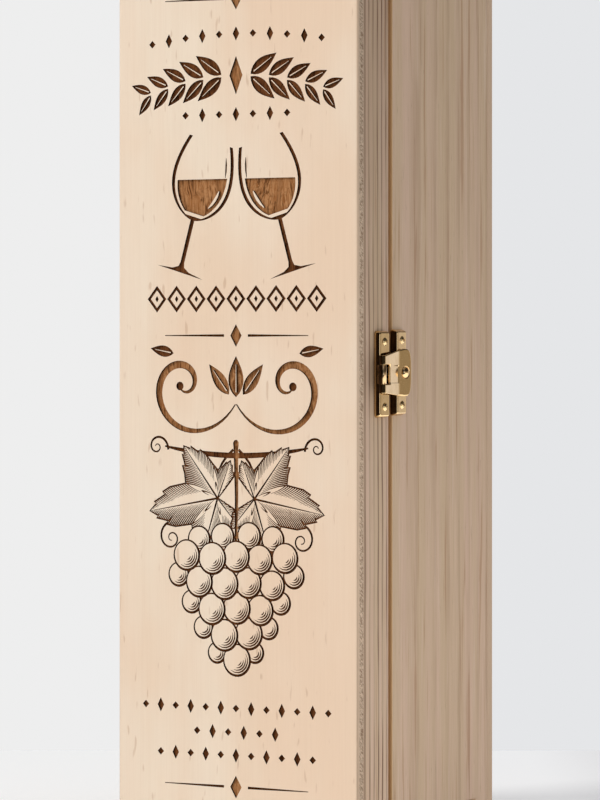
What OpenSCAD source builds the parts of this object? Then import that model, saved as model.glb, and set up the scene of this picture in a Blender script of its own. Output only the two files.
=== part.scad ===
// Wooden wine box for one bottle, standing on its bottom end.
// A pine case and a shallow pine lid are butted at a seam, hinged on the left
// and held shut on the right by a brass hasp that snaps over a stud.
// Millimetres. +Z is up, -Y is the front (the engraved lid) and +X is the
// latch side. The origin is the centre of the bottom end.

/* [Box] */
// Outer width of the box, across the lid
box_w = 110; // [98:1:140]
// Outer height of the box as it stands
box_h = 360; // [320:1:420]
// Depth of the case's pine boards, front to back
case_board_d = 74.9; // [60:0.1:100]
// Depth of the lid's pine rails, front to back
lid_rail_d = 17.7; // [17:0.1:26]
// Height of the shadow groove between lid and case
seam = 2.9; // [1.5:0.1:3.4]
// Depth of the shadow groove into the sides
groove_d = 3; // [2:0.5:6]
// Thickness of the pine boards and rails
board_t = 10; // [8:0.5:13]
// Thickness of the plywood lid panel
panel_t = 5.5; // [3:0.5:7]
// Thickness of the plywood back
back_t = 4; // [3:0.5:7]

/* [Finger joints] */
// Fingers and notches at each corner of the case
case_fingers = 8; // [4:1:12]
// Fingers and notches at each corner of the lid
lid_fingers = 2; // [2:1:4]

/* [Engraving] */
// Depth of the engraved ornament in the lid panel
engrave_depth = 0.9; // [0.3:0.1:1.2]
// Width of plain panel left beside the widest ornament
engrave_margin = 6; // [4:0.5:16]

/* [Screws] */
// Radius of a screw head
screw_head_r = 1.6; // [1.4:0.1:2]
// Height of a screw head
screw_head_h = 0.9; // [0.6:0.1:1.2]
// Radius of a screw's shank
screw_shank_r = 0.9; // [0.6:0.1:1.1]
// Length of a screw below its head
screw_l = 7; // [4:0.5:7.5]

/* [Hinges] */
// Height of a hinge leaf
hinge_h = 25; // [20:1:34]
// Width of a hinge leaf, from the pin's axis to its edge
hinge_leaf_w = 10; // [8:0.5:13]
// Thickness of a hinge leaf
hinge_leaf_t = 1; // [0.7:0.1:1.3]
// Outer radius of a hinge knuckle
hinge_knuckle_r = 2.2; // [2:0.1:2.8]
// Radius of a hinge pin
hinge_pin_r = 1; // [0.7:0.1:1.2]
// Distance from each end of the box to the middle of its hinge
hinge_inset = 70; // [40:1:110]
// Distance between a leaf's two screws
hinge_screw_pitch = 15; // [11:0.5:18]

/* [Latch] */
// Height of the two latch plates
plate_h = 33.4; // [28:0.1:44]
// Width of the lid's catch plate
catch_w = 7.9; // [7.2:0.1:10]
// Width of the case's keeper plate
keeper_w = 9.2; // [8.4:0.1:11]
// Height of a latch plate's face above the wood
plate_rise = 2.5; // [1.8:0.1:3]
// Thickness of the sheet that the plates are pressed from
plate_sheet = 0.7; // [0.5:0.1:0.9]
// Distance from the lid's rim to the catch plate
catch_setback = 2.8; // [0.5:0.1:4]
// Reach of the keeper plate past the case's rim, over the shadow groove
keeper_reach = 1.3; // [0:0.1:2]
// How much higher the keeper is screwed on than the catch
keeper_lift = 0.6; // [0:0.1:1.2]
// Distance between a plate's two screws
plate_screw_pitch = 25; // [23:0.5:27]
// Outer radius of the catch's knuckle
catch_knuckle_r = 1.5; // [1.3:0.1:2]
// Height of the catch's own knuckle along the pin
catch_knuckle_h = 7.3; // [5:0.1:10]
// Height of each of the hasp's two knuckles
hasp_knuckle_h = 3.5; // [2.4:0.1:4.6]
// Radius of the hasp's pin
hasp_pin_r = 0.8; // [0.5:0.1:1]
// Thickness of the hasp's sheet
hasp_sheet = 0.8; // [0.6:0.1:1]
// Height of the hasp at its broad end
hasp_h = 18.4; // [17:0.1:22]
// Reach of the hasp's rounded end past the stud's axis
hasp_overhang = 3.8; // [3.4:0.1:5]
// How much further out the hasp's rounded end stands than its bend
hasp_lift = 1; // [0.5:0.1:1.6]
// Radius of the keeper's stud
stud_r = 2.2; // [1.8:0.1:2.6]
// Height of the stud above the keeper plate's face
stud_h = 2.8; // [2.4:0.1:3.6]

/* [Hidden] */
$fn = 48;

// Overshoot of a cutting tool past the face that it cuts
cut = 1;
// Clearance between the rims when the lid is shut
rim_gap = 0.2;
// Radial clearance of a pin in its knuckles
pin_play = 0.05;
// Radial clearance of a screw in its hole
screw_play = 0.05;
// Gap between neighbouring knuckles
knuckle_gap = 0.15;
// Clearance between the hasp and the plates under it
hasp_clearance = 0.3;
// Radial clearance of the stud in the hasp's hole
stud_play = 0.35;

// Depths along Y, from the front face back
box_d = panel_t + lid_rail_d + seam + case_board_d + back_t;
front_y = -box_d / 2;
lid_rail_y = front_y + panel_t;
lid_rim_y = lid_rail_y + lid_rail_d;
case_rim_y = lid_rim_y + seam;
back_y = case_rim_y + case_board_d;
side_x = box_w / 2;

// Hinge pins stand off the left side by one knuckle radius, over the seam
hinge_x = -side_x - hinge_knuckle_r;
hinge_y = lid_rim_y + seam / 2;
hinge_zs = [hinge_inset, box_h - hinge_inset];
hinge_knuckles = 5;
hinge_screw_y = (hinge_leaf_w + hinge_knuckle_r) / 2;

// Latch, measured out from the right side
latch_z = box_h / 2;
plate_corner_r = 1.1;
catch_y = lid_rim_y - catch_setback - catch_w;
keeper_y = case_rim_y - keeper_reach;
keeper_z = latch_z + keeper_lift;
hasp_pin_y = catch_y + plate_sheet - catch_knuckle_r;
hasp_pin_x = side_x + plate_rise + hasp_clearance + catch_knuckle_r;
stud_y = keeper_y + keeper_w / 2;
hasp_base_x = side_x + plate_rise + hasp_clearance;
hasp_hole_r = stud_r + stud_play;
hasp_knuckle_wall = 0.45;
hasp_fold_r = 0.25;
hasp_fold_lean = 18;
hasp_fold = catch_knuckle_r * [cos(hasp_fold_lean), -sin(hasp_fold_lean)];
bend_to_hole = 1.7;
hasp_bend_y = stud_y - hasp_hole_r - bend_to_hole;
hasp_knuckles_h = catch_knuckle_h + 2 * (hasp_knuckle_h + knuckle_gap);

wood_colour = "burlywood";
panel_colour = "wheat";
brass_colour = "goldenrod";

// ---- Wood ---------------------------------------------------------------

// Low edge along X of a board's thickness, on the left (-1) or the right (1)
function inner_x(side) = side > 0 ? side_x - board_t : -side_x;

// Cuts every second band of a corner's fingers, from one band on
module finger_notches(y0, depth, count, first, x0, z0, size_x, size_z) {
  band = depth / count;
  for (i = [first : 2 : count - 1]) {
    before = i == 0 ? cut : 0;
    after = i == count - 1 ? cut : 0;
    translate([x0, y0 + i * band - before, z0])
      cube([size_x, band + before + after, size_z]);
  }
}

// An upright board on the left (side = -1) or right (side = 1)
module upright(side, y0, depth, fingers) {
  x0 = inner_x(side);
  difference() {
    translate([x0, y0, 0]) cube([board_t, depth, box_h]);
    for (z0 = [-cut, box_h - board_t])
      finger_notches(y0, depth, fingers, 0, x0 - cut, z0, board_t + 2 * cut, board_t + cut);
  }
}

// A short board across the bottom (z0 = 0) or the top of the uprights
module crosspiece(z0, y0, depth, fingers) {
  difference() {
    translate([-side_x, y0, z0]) cube([box_w, depth, board_t]);
    for (x0 = [-side_x - cut, side_x - board_t])
      finger_notches(y0, depth, fingers, 1, x0, z0 - cut, board_t + cut, board_t + 2 * cut);
  }
}

// The case's boards stand up inside the shadow groove to meet the lid's rim
tongue_h = seam - rim_gap;
tongue_t = board_t - groove_d;

module upright_tongue(side) {
  x0 = side > 0 ? side_x - board_t : -side_x + groove_d;
  translate([x0, case_rim_y - tongue_h, board_t]) cube([tongue_t, tongue_h + cut, box_h - 2 * board_t]);
}

module crosspiece_tongue(z0) {
  translate([-side_x + groove_d, case_rim_y - tongue_h, z0])
    cube([box_w - 2 * groove_d, tongue_h + cut, tongue_t]);
}

// Pilot holes in the left boards: toward = 1 for the case, -1 for the lid
module hinge_pilots(toward) {
  at_hinge_screws(toward) pilot(hinge_leaf_t);
}

module left_side() {
  color(wood_colour) difference() {
    union() {
      upright(-1, case_rim_y, case_board_d, case_fingers);
      upright_tongue(-1);
    }
    hinge_pilots(1);
  }
}

module right_side() {
  color(wood_colour) difference() {
    union() {
      upright(1, case_rim_y, case_board_d, case_fingers);
      upright_tongue(1);
    }
    at_keeper_screws() pilot(plate_rise);
  }
}

module lid_left_rail() {
  color(wood_colour) difference() {
    upright(-1, lid_rail_y, lid_rail_d, lid_fingers);
    hinge_pilots(-1);
  }
}

module lid_right_rail() {
  color(wood_colour) difference() {
    upright(1, lid_rail_y, lid_rail_d, lid_fingers);
    at_catch_screws() pilot(plate_rise);
  }
}

module bottom_end() {
  color(wood_colour) {
    crosspiece(0, case_rim_y, case_board_d, case_fingers);
    crosspiece_tongue(groove_d);
  }
}

module top_end() {
  color(wood_colour) {
    crosspiece(box_h - board_t, case_rim_y, case_board_d, case_fingers);
    crosspiece_tongue(box_h - board_t);
  }
}

module lid_bottom_rail() {
  color(wood_colour) crosspiece(0, lid_rail_y, lid_rail_d, lid_fingers);
}

module lid_top_rail() {
  color(wood_colour) crosspiece(box_h - board_t, lid_rail_y, lid_rail_d, lid_fingers);
}

module back_panel() {
  color(panel_colour) translate([-side_x, back_y, 0]) cube([box_w, back_t, box_h]);
}

module lid_panel() {
  color(panel_colour) difference() {
    translate([-side_x, front_y, 0]) cube([box_w, panel_t, box_h]);
    engraving();
  }
}

// ---- Engraved ornament --------------------------------------------------

// The ornament is drawn flat, x across and y up, on a sheet of this width,
// then scaled to the panel. Its numbers are in the sheet's own millimetres.
sheet_w = 98;
art_scale = (box_w - 2 * engrave_margin) / sheet_w;

// Where each ornament sits, as a share of the panel's height
rules_at = [0.0547, 0.5414, 0.905];
upper_beads_at = 0.867;
garland_at = 0.822;
middle_beads_at = 0.78;
glasses_at = 0.61;
plait_at = 0.581;
scrolls_at = 0.486;
vine_at = 0.285;
lower_beads_at = [0.1395, 0.1136, 0.0888];

module engraving() {
  translate([0, front_y - cut, box_h / 2]) rotate([90, 0, 0]) mirror([0, 0, 1])
    linear_extrude(engrave_depth + cut) ornament();
}

module at_height(share) {
  translate([0, (share - 0.5) * box_h]) scale(art_scale) children();
}

module ornament() {
  for (share = rules_at) at_height(share) rule();
  at_height(upper_beads_at) beads(10, 7.8, 3);
  at_height(garland_at) garland();
  at_height(middle_beads_at) beads(6, 7.8, 0);
  at_height(glasses_at) for (side = [-1, 1]) wine_glass(side);
  at_height(plait_at) plait();
  at_height(scrolls_at) scrolls();
  at_height(vine_at) vine();
  at_height(lower_beads_at[0]) beads(12, 7, 0);
  at_height(lower_beads_at[1]) beads(5, 7.2, 0);
  at_height(lower_beads_at[2]) beads(10, 7, 0);
}

module diamond(w, h) {
  polygon([[-w / 2, 0], [0, -h / 2], [w / 2, 0], [0, h / 2]]);
}

// Two tapered lines with a diamond between them
module rule() {
  line_in = 5.5;
  line_out = 33;
  line_w_in = 1;
  line_w_out = 0.3;
  diamond(5.2, 8.8);
  for (side = [-1, 1])
    polygon([[side * line_in, -line_w_in / 2], [side * line_out, -line_w_out / 2],
             [side * line_out, line_w_out / 2], [side * line_in, line_w_in / 2]]);
}

// Long and short beads by turns, in a row that sinks towards its ends
module beads(spaces, pitch, sink) {
  long_bead = 5.6;
  short_bead = 3;
  bead_w = 3;
  half = spaces / 2;
  for (i = [-half : half])
    translate([i * pitch, -sink * pow(i / half, 2)])
      diamond(bead_w, (i + half) % 2 == 0 ? short_bead : long_bead);
}

// A pointed leaf, from its stalk at the origin to its tip along +Y
module leaf(length, width) {
  steps = 7;
  fullest = 0.8;
  function half_w(i) = width / 2 * sin(180 * pow(i / steps, fullest));
  polygon([
    for (i = [0 : steps]) [half_w(i), length * i / steps],
    for (i = [steps - 1 : -1 : 1]) [-half_w(i), length * i / steps]
  ]);
}

// Pairs of leaves along an arched stem, smaller towards its ends
module garland() {
  arch_r = 130;
  pairs = 5;
  pair_step = 3.7;
  spread = 36;
  leaf_l = 14.5;
  leaf_w = 5.6;
  stem_gap = 0.5;
  diamond(6, 15);
  for (side = [-1, 1], i = [1 : pairs], half = [-1, 1]) {
    along = side * pair_step * (i - 0.2);
    size = 1.06 - 0.08 * i;
    translate([arch_r * sin(along), arch_r * (cos(along) - 1) + half * stem_gap])
      rotate(-along - side * (90 - half * spread)) leaf(leaf_l * size, leaf_w * size);
  }
}

// A glass leaning in towards the middle, with its wine lying level
module wine_glass(side) {
  lean = 16;
  foot_x = 26;
  foot_w = 22;
  foot_t = 2.6;
  stem_w = 1.8;
  stem_h = 21;
  bowl_h = 32;
  bowl_w = 28;
  glass_w = 1.5;
  wine_gap = 1.2;
  fill_h = 0.52;
  steps = 14;
  // Half the bowl's width at a share of its height, less a wall
  function bowl(t, wall) = max(0, bowl_w / 2 * sin(132 * pow(t, 0.6)) - wall);
  module bowl_shape(from, to, wall) {
    function at(i) = from + (to - from) * i / steps;
    polygon([
      for (i = [0 : steps]) [bowl(at(i), wall), stem_h + bowl_h * at(i)],
      for (i = [steps : -1 : 0]) [-bowl(at(i), wall), stem_h + bowl_h * at(i)]
    ]);
  }
  translate([side * foot_x, 0]) rotate(side * lean) {
    polygon([[-foot_w / 2, 0], [foot_w / 2, 0], [stem_w / 2, foot_t], [stem_w / 2, stem_h + 1],
             [-stem_w / 2, stem_h + 1], [-stem_w / 2, foot_t]]);
    difference() {
      bowl_shape(0, 1, 0);
      bowl_shape(0.05, 1.1, glass_w);
    }
    intersection() {
      bowl_shape(0.09, 1, glass_w + wine_gap);
      translate([0, stem_h + fill_h * bowl_h]) rotate(-side * lean)
        translate([-bowl_w, -bowl_h]) square([2 * bowl_w, bowl_h]);
    }
  }
}

// A band of open lozenges, tip to tip
module plait() {
  count = 9;
  pitch = 9.2;
  height = 10.5;
  line_w = 1.5;
  for (i = [0 : count - 1]) translate([(i - (count - 1) / 2) * pitch, 0])
    difference() {
      diamond(pitch - 0.4, height);
      diamond(pitch - 0.4 - 2 * line_w, height - 2.6 * line_w);
    }
}

// A stroke along a line of points, with a width at each of them
module stroke(points, widths) {
  last = len(points) - 1;
  function side_at(i) = let (d = points[min(i + 1, last)] - points[max(i - 1, 0)])
    [-d.y, d.x] / norm(d) * widths[i] / 2;
  polygon([
    for (i = [0 : last]) points[i] + side_at(i),
    for (i = [last : -1 : 0]) points[i] - side_at(i)
  ]);
}

// Two spirals that run out of one root, with leaves rising between them
module scrolls() {
  steps = 36;
  sweep = 500;
  start = 198;
  eye = [24, 1];
  r_out = 25;
  r_in = 2.2;
  thick = 2.6;
  function r_at(t) = r_out * pow(r_in / r_out, t);
  function at(t) = eye + r_at(t) * [cos(start + sweep * t), sin(start + sweep * t)];
  for (side = [-1, 1]) scale([side, 1]) {
    stroke([for (i = [0 : steps]) at(i / steps)],
           [for (i = [0 : steps]) 0.5 + thick * pow(sin(180 * pow(i / steps, 0.7)), 1.5)]);
    translate(at(1)) circle(r = 1.7);
    translate([3.2, -3]) rotate(-38) leaf(15, 5.6);
    translate([29, 13]) rotate(-80) leaf(11, 4.4);
  }
  translate([0, -4]) leaf(16, 7);
}

// A bunch of grapes, hung from a stalk below two fans of leaves
module vine() {
  grape_r = 5.3;
  gap = 0.8;
  rows = 5;
  row_drop = 0.87;
  bunch_top = 6;
  stalk_w = 2;
  stalk_bottom = bunch_top + grape_r + 1;
  stalk_top = 46;
  fan_at = [2, 27];
  pitch = 2 * grape_r + gap;
  polygon([[-stalk_w / 3, stalk_bottom], [stalk_w / 3, stalk_bottom],
           [stalk_w / 2, stalk_top], [-stalk_w / 2, stalk_top]]);
  for (side = [-1, 1]) translate([side * fan_at.x, fan_at.y])
    for (turn = [-40, 0, 40]) rotate(side * (-72 + turn)) leaf(turn == 0 ? 40 : 25, turn == 0 ? 13 : 10);
  for (row = [0 : rows - 1], i = [0 : rows - 1 - row])
    translate([(i - (rows - 1 - row) / 2) * pitch, bunch_top - row * pitch * row_drop])
      circle(r = grape_r);
}

// ---- Screws -------------------------------------------------------------

// Places children with +Z out of the right side, or the left one
module out_of_right(y, z) {
  translate([side_x, y, z]) rotate([0, 90, 0]) children();
}

module out_of_left(y, z) {
  translate([-side_x, y, z]) rotate([0, -90, 0]) children();
}

module at_hinge_screws(toward) {
  for (z = hinge_zs, end = [-1, 1])
    out_of_left(hinge_y + toward * hinge_screw_y, z + end * hinge_screw_pitch / 2) children();
}

module at_catch_screws() {
  for (end = [-1, 1])
    out_of_right(catch_y + catch_w / 2, latch_z + end * plate_screw_pitch / 2) children();
}

module at_keeper_screws() {
  for (end = [-1, 1])
    out_of_right(keeper_y + keeper_w / 2, keeper_z + end * plate_screw_pitch / 2) children();
}

// The hole for a screw whose head seats at a height above the wood
module pilot(seat) {
  depth = screw_l - seat + screw_play;
  translate([0, 0, -depth]) cylinder(r = screw_shank_r + screw_play, h = depth + cut);
}

// Radius of the sphere that a dome of some radius and height is cut from
function dome_radius(r, h) = (r * r + h * h) / (2 * h);

// A domed cross-slot screw, its head's underside at z = 0
module screw() {
  cap_r = dome_radius(screw_head_r, screw_head_h);
  tip = 2 * screw_shank_r;
  tip_r = screw_shank_r / 6;
  slot_l = 1.1 * screw_head_r;
  slot_w = 0.3 * screw_head_r;
  slot_depth = 0.5 * screw_head_h;
  difference() {
    union() {
      intersection() {
        translate([0, 0, screw_head_h - cap_r]) sphere(cap_r);
        cylinder(r = screw_head_r + cut, h = screw_head_h + cut);
      }
      translate([0, 0, tip - screw_l]) cylinder(r = screw_shank_r, h = screw_l - tip + screw_head_h / 2);
      translate([0, 0, -screw_l]) cylinder(r1 = tip_r, r2 = screw_shank_r, h = tip);
    }
    for (turn = [0, 90]) rotate(turn)
      translate([-slot_l / 2, -slot_w / 2, screw_head_h - slot_depth]) cube([slot_l, slot_w, cut]);
  }
}

module hinge_screws(toward) {
  color(brass_colour) at_hinge_screws(toward) translate([0, 0, hinge_leaf_t]) screw();
}

module catch_screws() {
  color(brass_colour) at_catch_screws() translate([0, 0, plate_rise]) screw();
}

module keeper_screws() {
  color(brass_colour) at_keeper_screws() translate([0, 0, plate_rise]) screw();
}

// ---- Hinges -------------------------------------------------------------

// A leaf toward the case (1, knuckles 0, 2 and 4) or the lid (-1, knuckles 1 and 3)
module hinge_leaf(z, toward) {
  first = toward > 0 ? 0 : 1;
  pitch = hinge_h / hinge_knuckles;
  relief = hinge_knuckle_r + knuckle_gap;
  plate_y = toward > 0 ? relief : -hinge_leaf_w;
  root_y = toward > 0 ? 0 : -relief - cut / 2;
  color(brass_colour) difference() {
    translate([hinge_x, hinge_y, z - hinge_h / 2]) {
      translate([hinge_knuckle_r - hinge_leaf_t, plate_y, 0])
        cube([hinge_leaf_t, hinge_leaf_w - relief, hinge_h]);
      for (i = [first : 2 : hinge_knuckles - 1]) translate([0, 0, i * pitch + knuckle_gap / 2]) {
        difference() {
          union() {
            cylinder(r = hinge_knuckle_r, h = pitch - knuckle_gap);
            translate([hinge_knuckle_r - hinge_leaf_t, root_y, 0])
              cube([hinge_leaf_t, relief + cut / 2, pitch - knuckle_gap]);
          }
          translate([0, 0, -cut]) cylinder(r = hinge_pin_r + pin_play, h = pitch + 2 * cut);
        }
      }
    }
    at_hinge_screws(toward)
      translate([0, 0, -cut]) cylinder(r = screw_shank_r + screw_play, h = hinge_leaf_t + 2 * cut);
  }
}

module hinge_pin(z) {
  color(brass_colour) translate([hinge_x, hinge_y, z - hinge_h / 2])
    cylinder(r = hinge_pin_r, h = hinge_h);
}

// ---- Latch --------------------------------------------------------------

// A slab with rounded corners in the Y-Z plane, growing along +X
module rounded_slab(x, y, z, w, h, t, r) {
  translate([x, y + r, z]) cube([t, w - 2 * r, h]);
  translate([x, y, z + r]) cube([t, w, h - 2 * r]);
  for (cy = [y + r, y + w - r], cz = [z + r, z + h - r])
    translate([x, cy, cz]) rotate([0, 90, 0]) cylinder(r = r, h = t);
}

// A plate pressed into a shallow tray, face out and rims on the wood
module pressed_plate(y, z, w) {
  inner = plate_sheet;
  difference() {
    rounded_slab(side_x, y, z - plate_h / 2, w, plate_h, plate_rise, plate_corner_r);
    rounded_slab(side_x - cut, y + inner, z - plate_h / 2 + inner, w - 2 * inner,
                 plate_h - 2 * inner, plate_rise - plate_sheet + cut, plate_corner_r - inner / 2);
  }
}

module plate_screw_holes() {
  translate([0, 0, -cut])
    cylinder(r = screw_shank_r + screw_play, h = plate_rise + 2 * cut);
}

// The lid's plate, whose front wall runs on outwards as a tongue, rolled forward into a knuckle
module catch_plate() {
  tongue_x = side_x + plate_rise - plate_sheet;
  tongue_w = catch_knuckle_r - hasp_pin_r - pin_play;
  knuckle_z = latch_z - catch_knuckle_h / 2;
  color(brass_colour) difference() {
    union() {
      difference() {
        pressed_plate(catch_y, latch_z, catch_w);
        at_catch_screws() plate_screw_holes();
      }
      translate([hasp_pin_x, hasp_pin_y, knuckle_z])
        cylinder(r = catch_knuckle_r, h = catch_knuckle_h);
      translate([tongue_x, catch_y + plate_sheet - tongue_w, knuckle_z])
        cube([hasp_pin_x - tongue_x, tongue_w, catch_knuckle_h]);
    }
    translate([hasp_pin_x, hasp_pin_y, knuckle_z - cut])
      cylinder(r = hasp_pin_r + pin_play, h = catch_knuckle_h + 2 * cut);
  }
}

module hasp_pin() {
  color(brass_colour) translate([hasp_pin_x, hasp_pin_y, latch_z - hasp_knuckles_h / 2])
    cylinder(r = hasp_pin_r, h = hasp_knuckles_h);
}

// Side profile of the hasp's sheet, x out of the wood and y along the box:
// from the fold over its knuckles, down to the keeper, then out a little to its end
module hasp_profile() {
  fold_x = hasp_pin_x + hasp_fold.x + hasp_fold_r;
  fold_y = hasp_pin_y + hasp_fold.y;
  end_x = hasp_base_x + hasp_lift;
  end_y = stud_y + hasp_overhang;
  polygon([
    [fold_x, fold_y], [hasp_base_x + hasp_sheet, hasp_bend_y], [end_x + hasp_sheet, end_y],
    [end_x, end_y], [hasp_base_x, hasp_bend_y], [fold_x - hasp_sheet, fold_y]
  ]);
}

// Section of the hasp's knuckles round the pin: the sheet folds down at a corner
// in front, then rolls back under the pin
module hasp_knuckle_section() {
  hull() {
    circle(r = hasp_pin_r + pin_play + hasp_knuckle_wall);
    translate(hasp_fold) circle(r = hasp_fold_r);
  }
}

// Outline of the hasp seen square on: x along the box, y up, from the pin.
// It flares from its knuckles to the keeper, then ends in a blunt round.
module hasp_outline() {
  arm_h = hasp_knuckles_h / 2;
  broad_h = hasp_h / 2;
  stud_at = stud_y - hasp_pin_y;
  end_at = stud_at + hasp_overhang;
  round_before_stud = 0.6;
  round_from = stud_at - round_before_stud;
  bluntness = 0.5;
  steps = 24;
  function blunt(s) = sign(s) * pow(abs(s), bluntness);
  function round_end(i) = let (a = 90 - 180 * i / steps)
    [round_from + (end_at - round_from) * blunt(cos(a)), keeper_lift + broad_h * blunt(sin(a))];
  polygon(concat(
    [[hasp_fold.y, -arm_h], [hasp_fold.y, arm_h]],
    [for (i = [0 : steps]) round_end(i)]
  ));
}

module hasp() {
  notch_past_knuckle = 3;
  notch_end = hasp_pin_y + catch_knuckle_r + notch_past_knuckle;
  notch_h = catch_knuckle_h + 2 * knuckle_gap;
  // The press sinks the middle of the hasp a little between its two arms
  panel_margin = 0.3;
  panel_sink = 0.25;
  panel_h = notch_h - 2 * panel_margin;
  color(brass_colour) difference() {
    union() {
      intersection() {
        translate([0, 0, latch_z - hasp_h]) linear_extrude(2 * hasp_h) hasp_profile();
        translate([side_x, hasp_pin_y, latch_z]) rotate([90, 0, 90])
          linear_extrude(hasp_pin_x - side_x + 4 * catch_knuckle_r) hasp_outline();
      }
      for (side = [-1, 1])
        translate([hasp_pin_x, hasp_pin_y,
                   latch_z + side * (hasp_knuckles_h - hasp_knuckle_h) / 2 - hasp_knuckle_h / 2])
          linear_extrude(hasp_knuckle_h) hasp_knuckle_section();
    }
    translate([hasp_pin_x, hasp_pin_y, latch_z - hasp_h])
      cylinder(r = hasp_pin_r + pin_play, h = 2 * hasp_h);
    translate([side_x, hasp_pin_y - catch_knuckle_r - cut, latch_z - notch_h / 2])
      cube([4 * catch_knuckle_r + plate_rise, notch_end - hasp_pin_y + catch_knuckle_r + cut, notch_h]);
    translate([hasp_base_x - cut, stud_y, keeper_z]) rotate([0, 90, 0])
      cylinder(r = hasp_hole_r, h = hasp_lift + hasp_sheet + 2 * cut);
    translate([0, 0, latch_z - panel_h / 2]) linear_extrude(panel_h) intersection() {
      translate([hasp_sheet - panel_sink, 0]) hasp_profile();
      translate([side_x, notch_end - cut]) square([6 * catch_knuckle_r, hasp_bend_y - notch_end + cut]);
    }
  }
}

module keeper_plate() {
  color(brass_colour) difference() {
    pressed_plate(keeper_y, keeper_z, keeper_w);
    at_keeper_screws() plate_screw_holes();
    out_of_right(stud_y, keeper_z) cylinder(r = stud_r / 2 + pin_play, h = plate_rise + cut);
  }
}

// A domed stud riveted through the keeper plate
module keeper_stud() {
  shank_r = stud_r / 2;
  foot_r = 0.75 * stud_r;
  foot_h = 0.4;
  dome_h = 0.62 * stud_r;
  dome_r = dome_radius(stud_r, dome_h);
  inside = plate_rise - plate_sheet;
  color(brass_colour) out_of_right(stud_y, keeper_z) {
    translate([0, 0, inside - foot_h]) cylinder(r = foot_r, h = foot_h);
    translate([0, 0, inside - foot_h / 2]) cylinder(r = shank_r, h = plate_sheet + foot_h);
    translate([0, 0, plate_rise]) cylinder(r = stud_r, h = stud_h - dome_h);
    intersection() {
      translate([0, 0, plate_rise + stud_h - dome_r]) sphere(dome_r);
      translate([0, 0, plate_rise + stud_h - dome_h]) cylinder(r = stud_r + cut, h = dome_h + cut);
    }
  }
}

// ---- Nodes --------------------------------------------------------------

left_side();
right_side();
top_end();
bottom_end();
back_panel();
lid_panel();
lid_left_rail();
lid_right_rail();
lid_top_rail();
lid_bottom_rail();
hinge_leaf(hinge_zs[1], 1);  // upper_hinge_case_leaf
hinge_leaf(hinge_zs[1], -1);  // upper_hinge_lid_leaf
hinge_pin(hinge_zs[1]);  // upper_hinge_pin
hinge_leaf(hinge_zs[0], 1);  // lower_hinge_case_leaf
hinge_leaf(hinge_zs[0], -1);  // lower_hinge_lid_leaf
hinge_pin(hinge_zs[0]);  // lower_hinge_pin
hinge_screws(1);  // hinge_case_screws
hinge_screws(-1);  // hinge_lid_screws
catch_plate();
catch_screws();
hasp_pin();
hasp();
keeper_plate();
keeper_stud();
keeper_screws();
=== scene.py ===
import math
from math import cos, pi, radians, sin

import bmesh
import bpy
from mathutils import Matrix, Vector, geometry


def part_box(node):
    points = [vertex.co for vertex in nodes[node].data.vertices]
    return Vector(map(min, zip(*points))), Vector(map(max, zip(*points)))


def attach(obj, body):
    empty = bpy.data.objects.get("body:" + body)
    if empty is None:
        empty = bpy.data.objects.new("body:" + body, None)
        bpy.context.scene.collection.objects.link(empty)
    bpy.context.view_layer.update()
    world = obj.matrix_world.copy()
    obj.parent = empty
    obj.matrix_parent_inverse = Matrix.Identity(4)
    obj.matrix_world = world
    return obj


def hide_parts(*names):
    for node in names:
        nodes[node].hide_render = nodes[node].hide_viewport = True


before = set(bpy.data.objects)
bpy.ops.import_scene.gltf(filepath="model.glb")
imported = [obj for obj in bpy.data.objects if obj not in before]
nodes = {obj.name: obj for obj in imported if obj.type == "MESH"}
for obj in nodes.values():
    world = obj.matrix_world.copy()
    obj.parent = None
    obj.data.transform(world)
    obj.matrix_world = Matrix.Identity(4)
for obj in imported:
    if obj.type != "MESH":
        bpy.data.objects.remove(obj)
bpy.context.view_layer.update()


# ---- The case: two sides and two ends of pine -----------------------------
# Sanded pine boards, 10 mm thick, finger-jointed at the corners and glued.
# Their edges are eased with sandpaper, and the grain runs along each board.

def round_over(bm, edges, size, rounds):
    """Rounds edges over. A flat meets its round at a crease, so that it still shades as a flat."""
    made = bmesh.ops.bevel(bm, geom=edges, offset=size, offset_type="OFFSET", segments=rounds,
                           profile=0.5, affect="EDGES", clamp_overlap=True)["faces"]
    for f in made:
        f.smooth = True
    rounded = set(made)
    for e in bm.edges:
        e.smooth = len({f in rounded for f in e.link_faces}) == 1


SAME_SPOT, NARROW_FACET = 1e-6, 0.0008
FLAT_TURN, CURVE_TURN, SHARP_TURN = radians(1), radians(12), radians(32)


def eased_copy(name, node, ease, rounds=2):
    """A closed copy of a solid, its sharp edges rounded over by ease metres."""
    source = nodes[node].data
    bm = bmesh.new()
    spots = [bm.verts.new(v.co) for v in source.vertices]
    for p in source.polygons:
        bm.faces.new([spots[i] for i in p.vertices])
    bmesh.ops.remove_doubles(bm, verts=bm.verts, dist=2 * SAME_SPOT)
    bmesh.ops.dissolve_limit(bm, angle_limit=FLAT_TURN / 2, verts=bm.verts, edges=bm.edges)
    bm.normal_update()
    for f in bm.faces:
        # Only the narrow facets of a curve shade as one
        narrow = f.calc_area() < NARROW_FACET * max(e.calc_length() for e in f.edges)
        angles = [e.calc_face_angle(0) for e in f.edges if len(e.link_faces) == 2]
        f.smooth = narrow and any(FLAT_TURN < a < CURVE_TURN for a in angles)
    sharp = [e for e in bm.edges if len(e.link_faces) == 2 and e.calc_face_angle(0) > SHARP_TURN]
    round_over(bm, sharp, ease, rounds)
    bmesh.ops.remove_doubles(bm, verts=bm.verts, dist=SAME_SPOT)
    return piece_of(name, bm)


def placed(name, data):
    """An object in the scene, of a mesh, a lamp or a camera."""
    thing = bpy.data.objects.new(name, data)
    bpy.context.scene.collection.objects.link(thing)
    return thing


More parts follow.
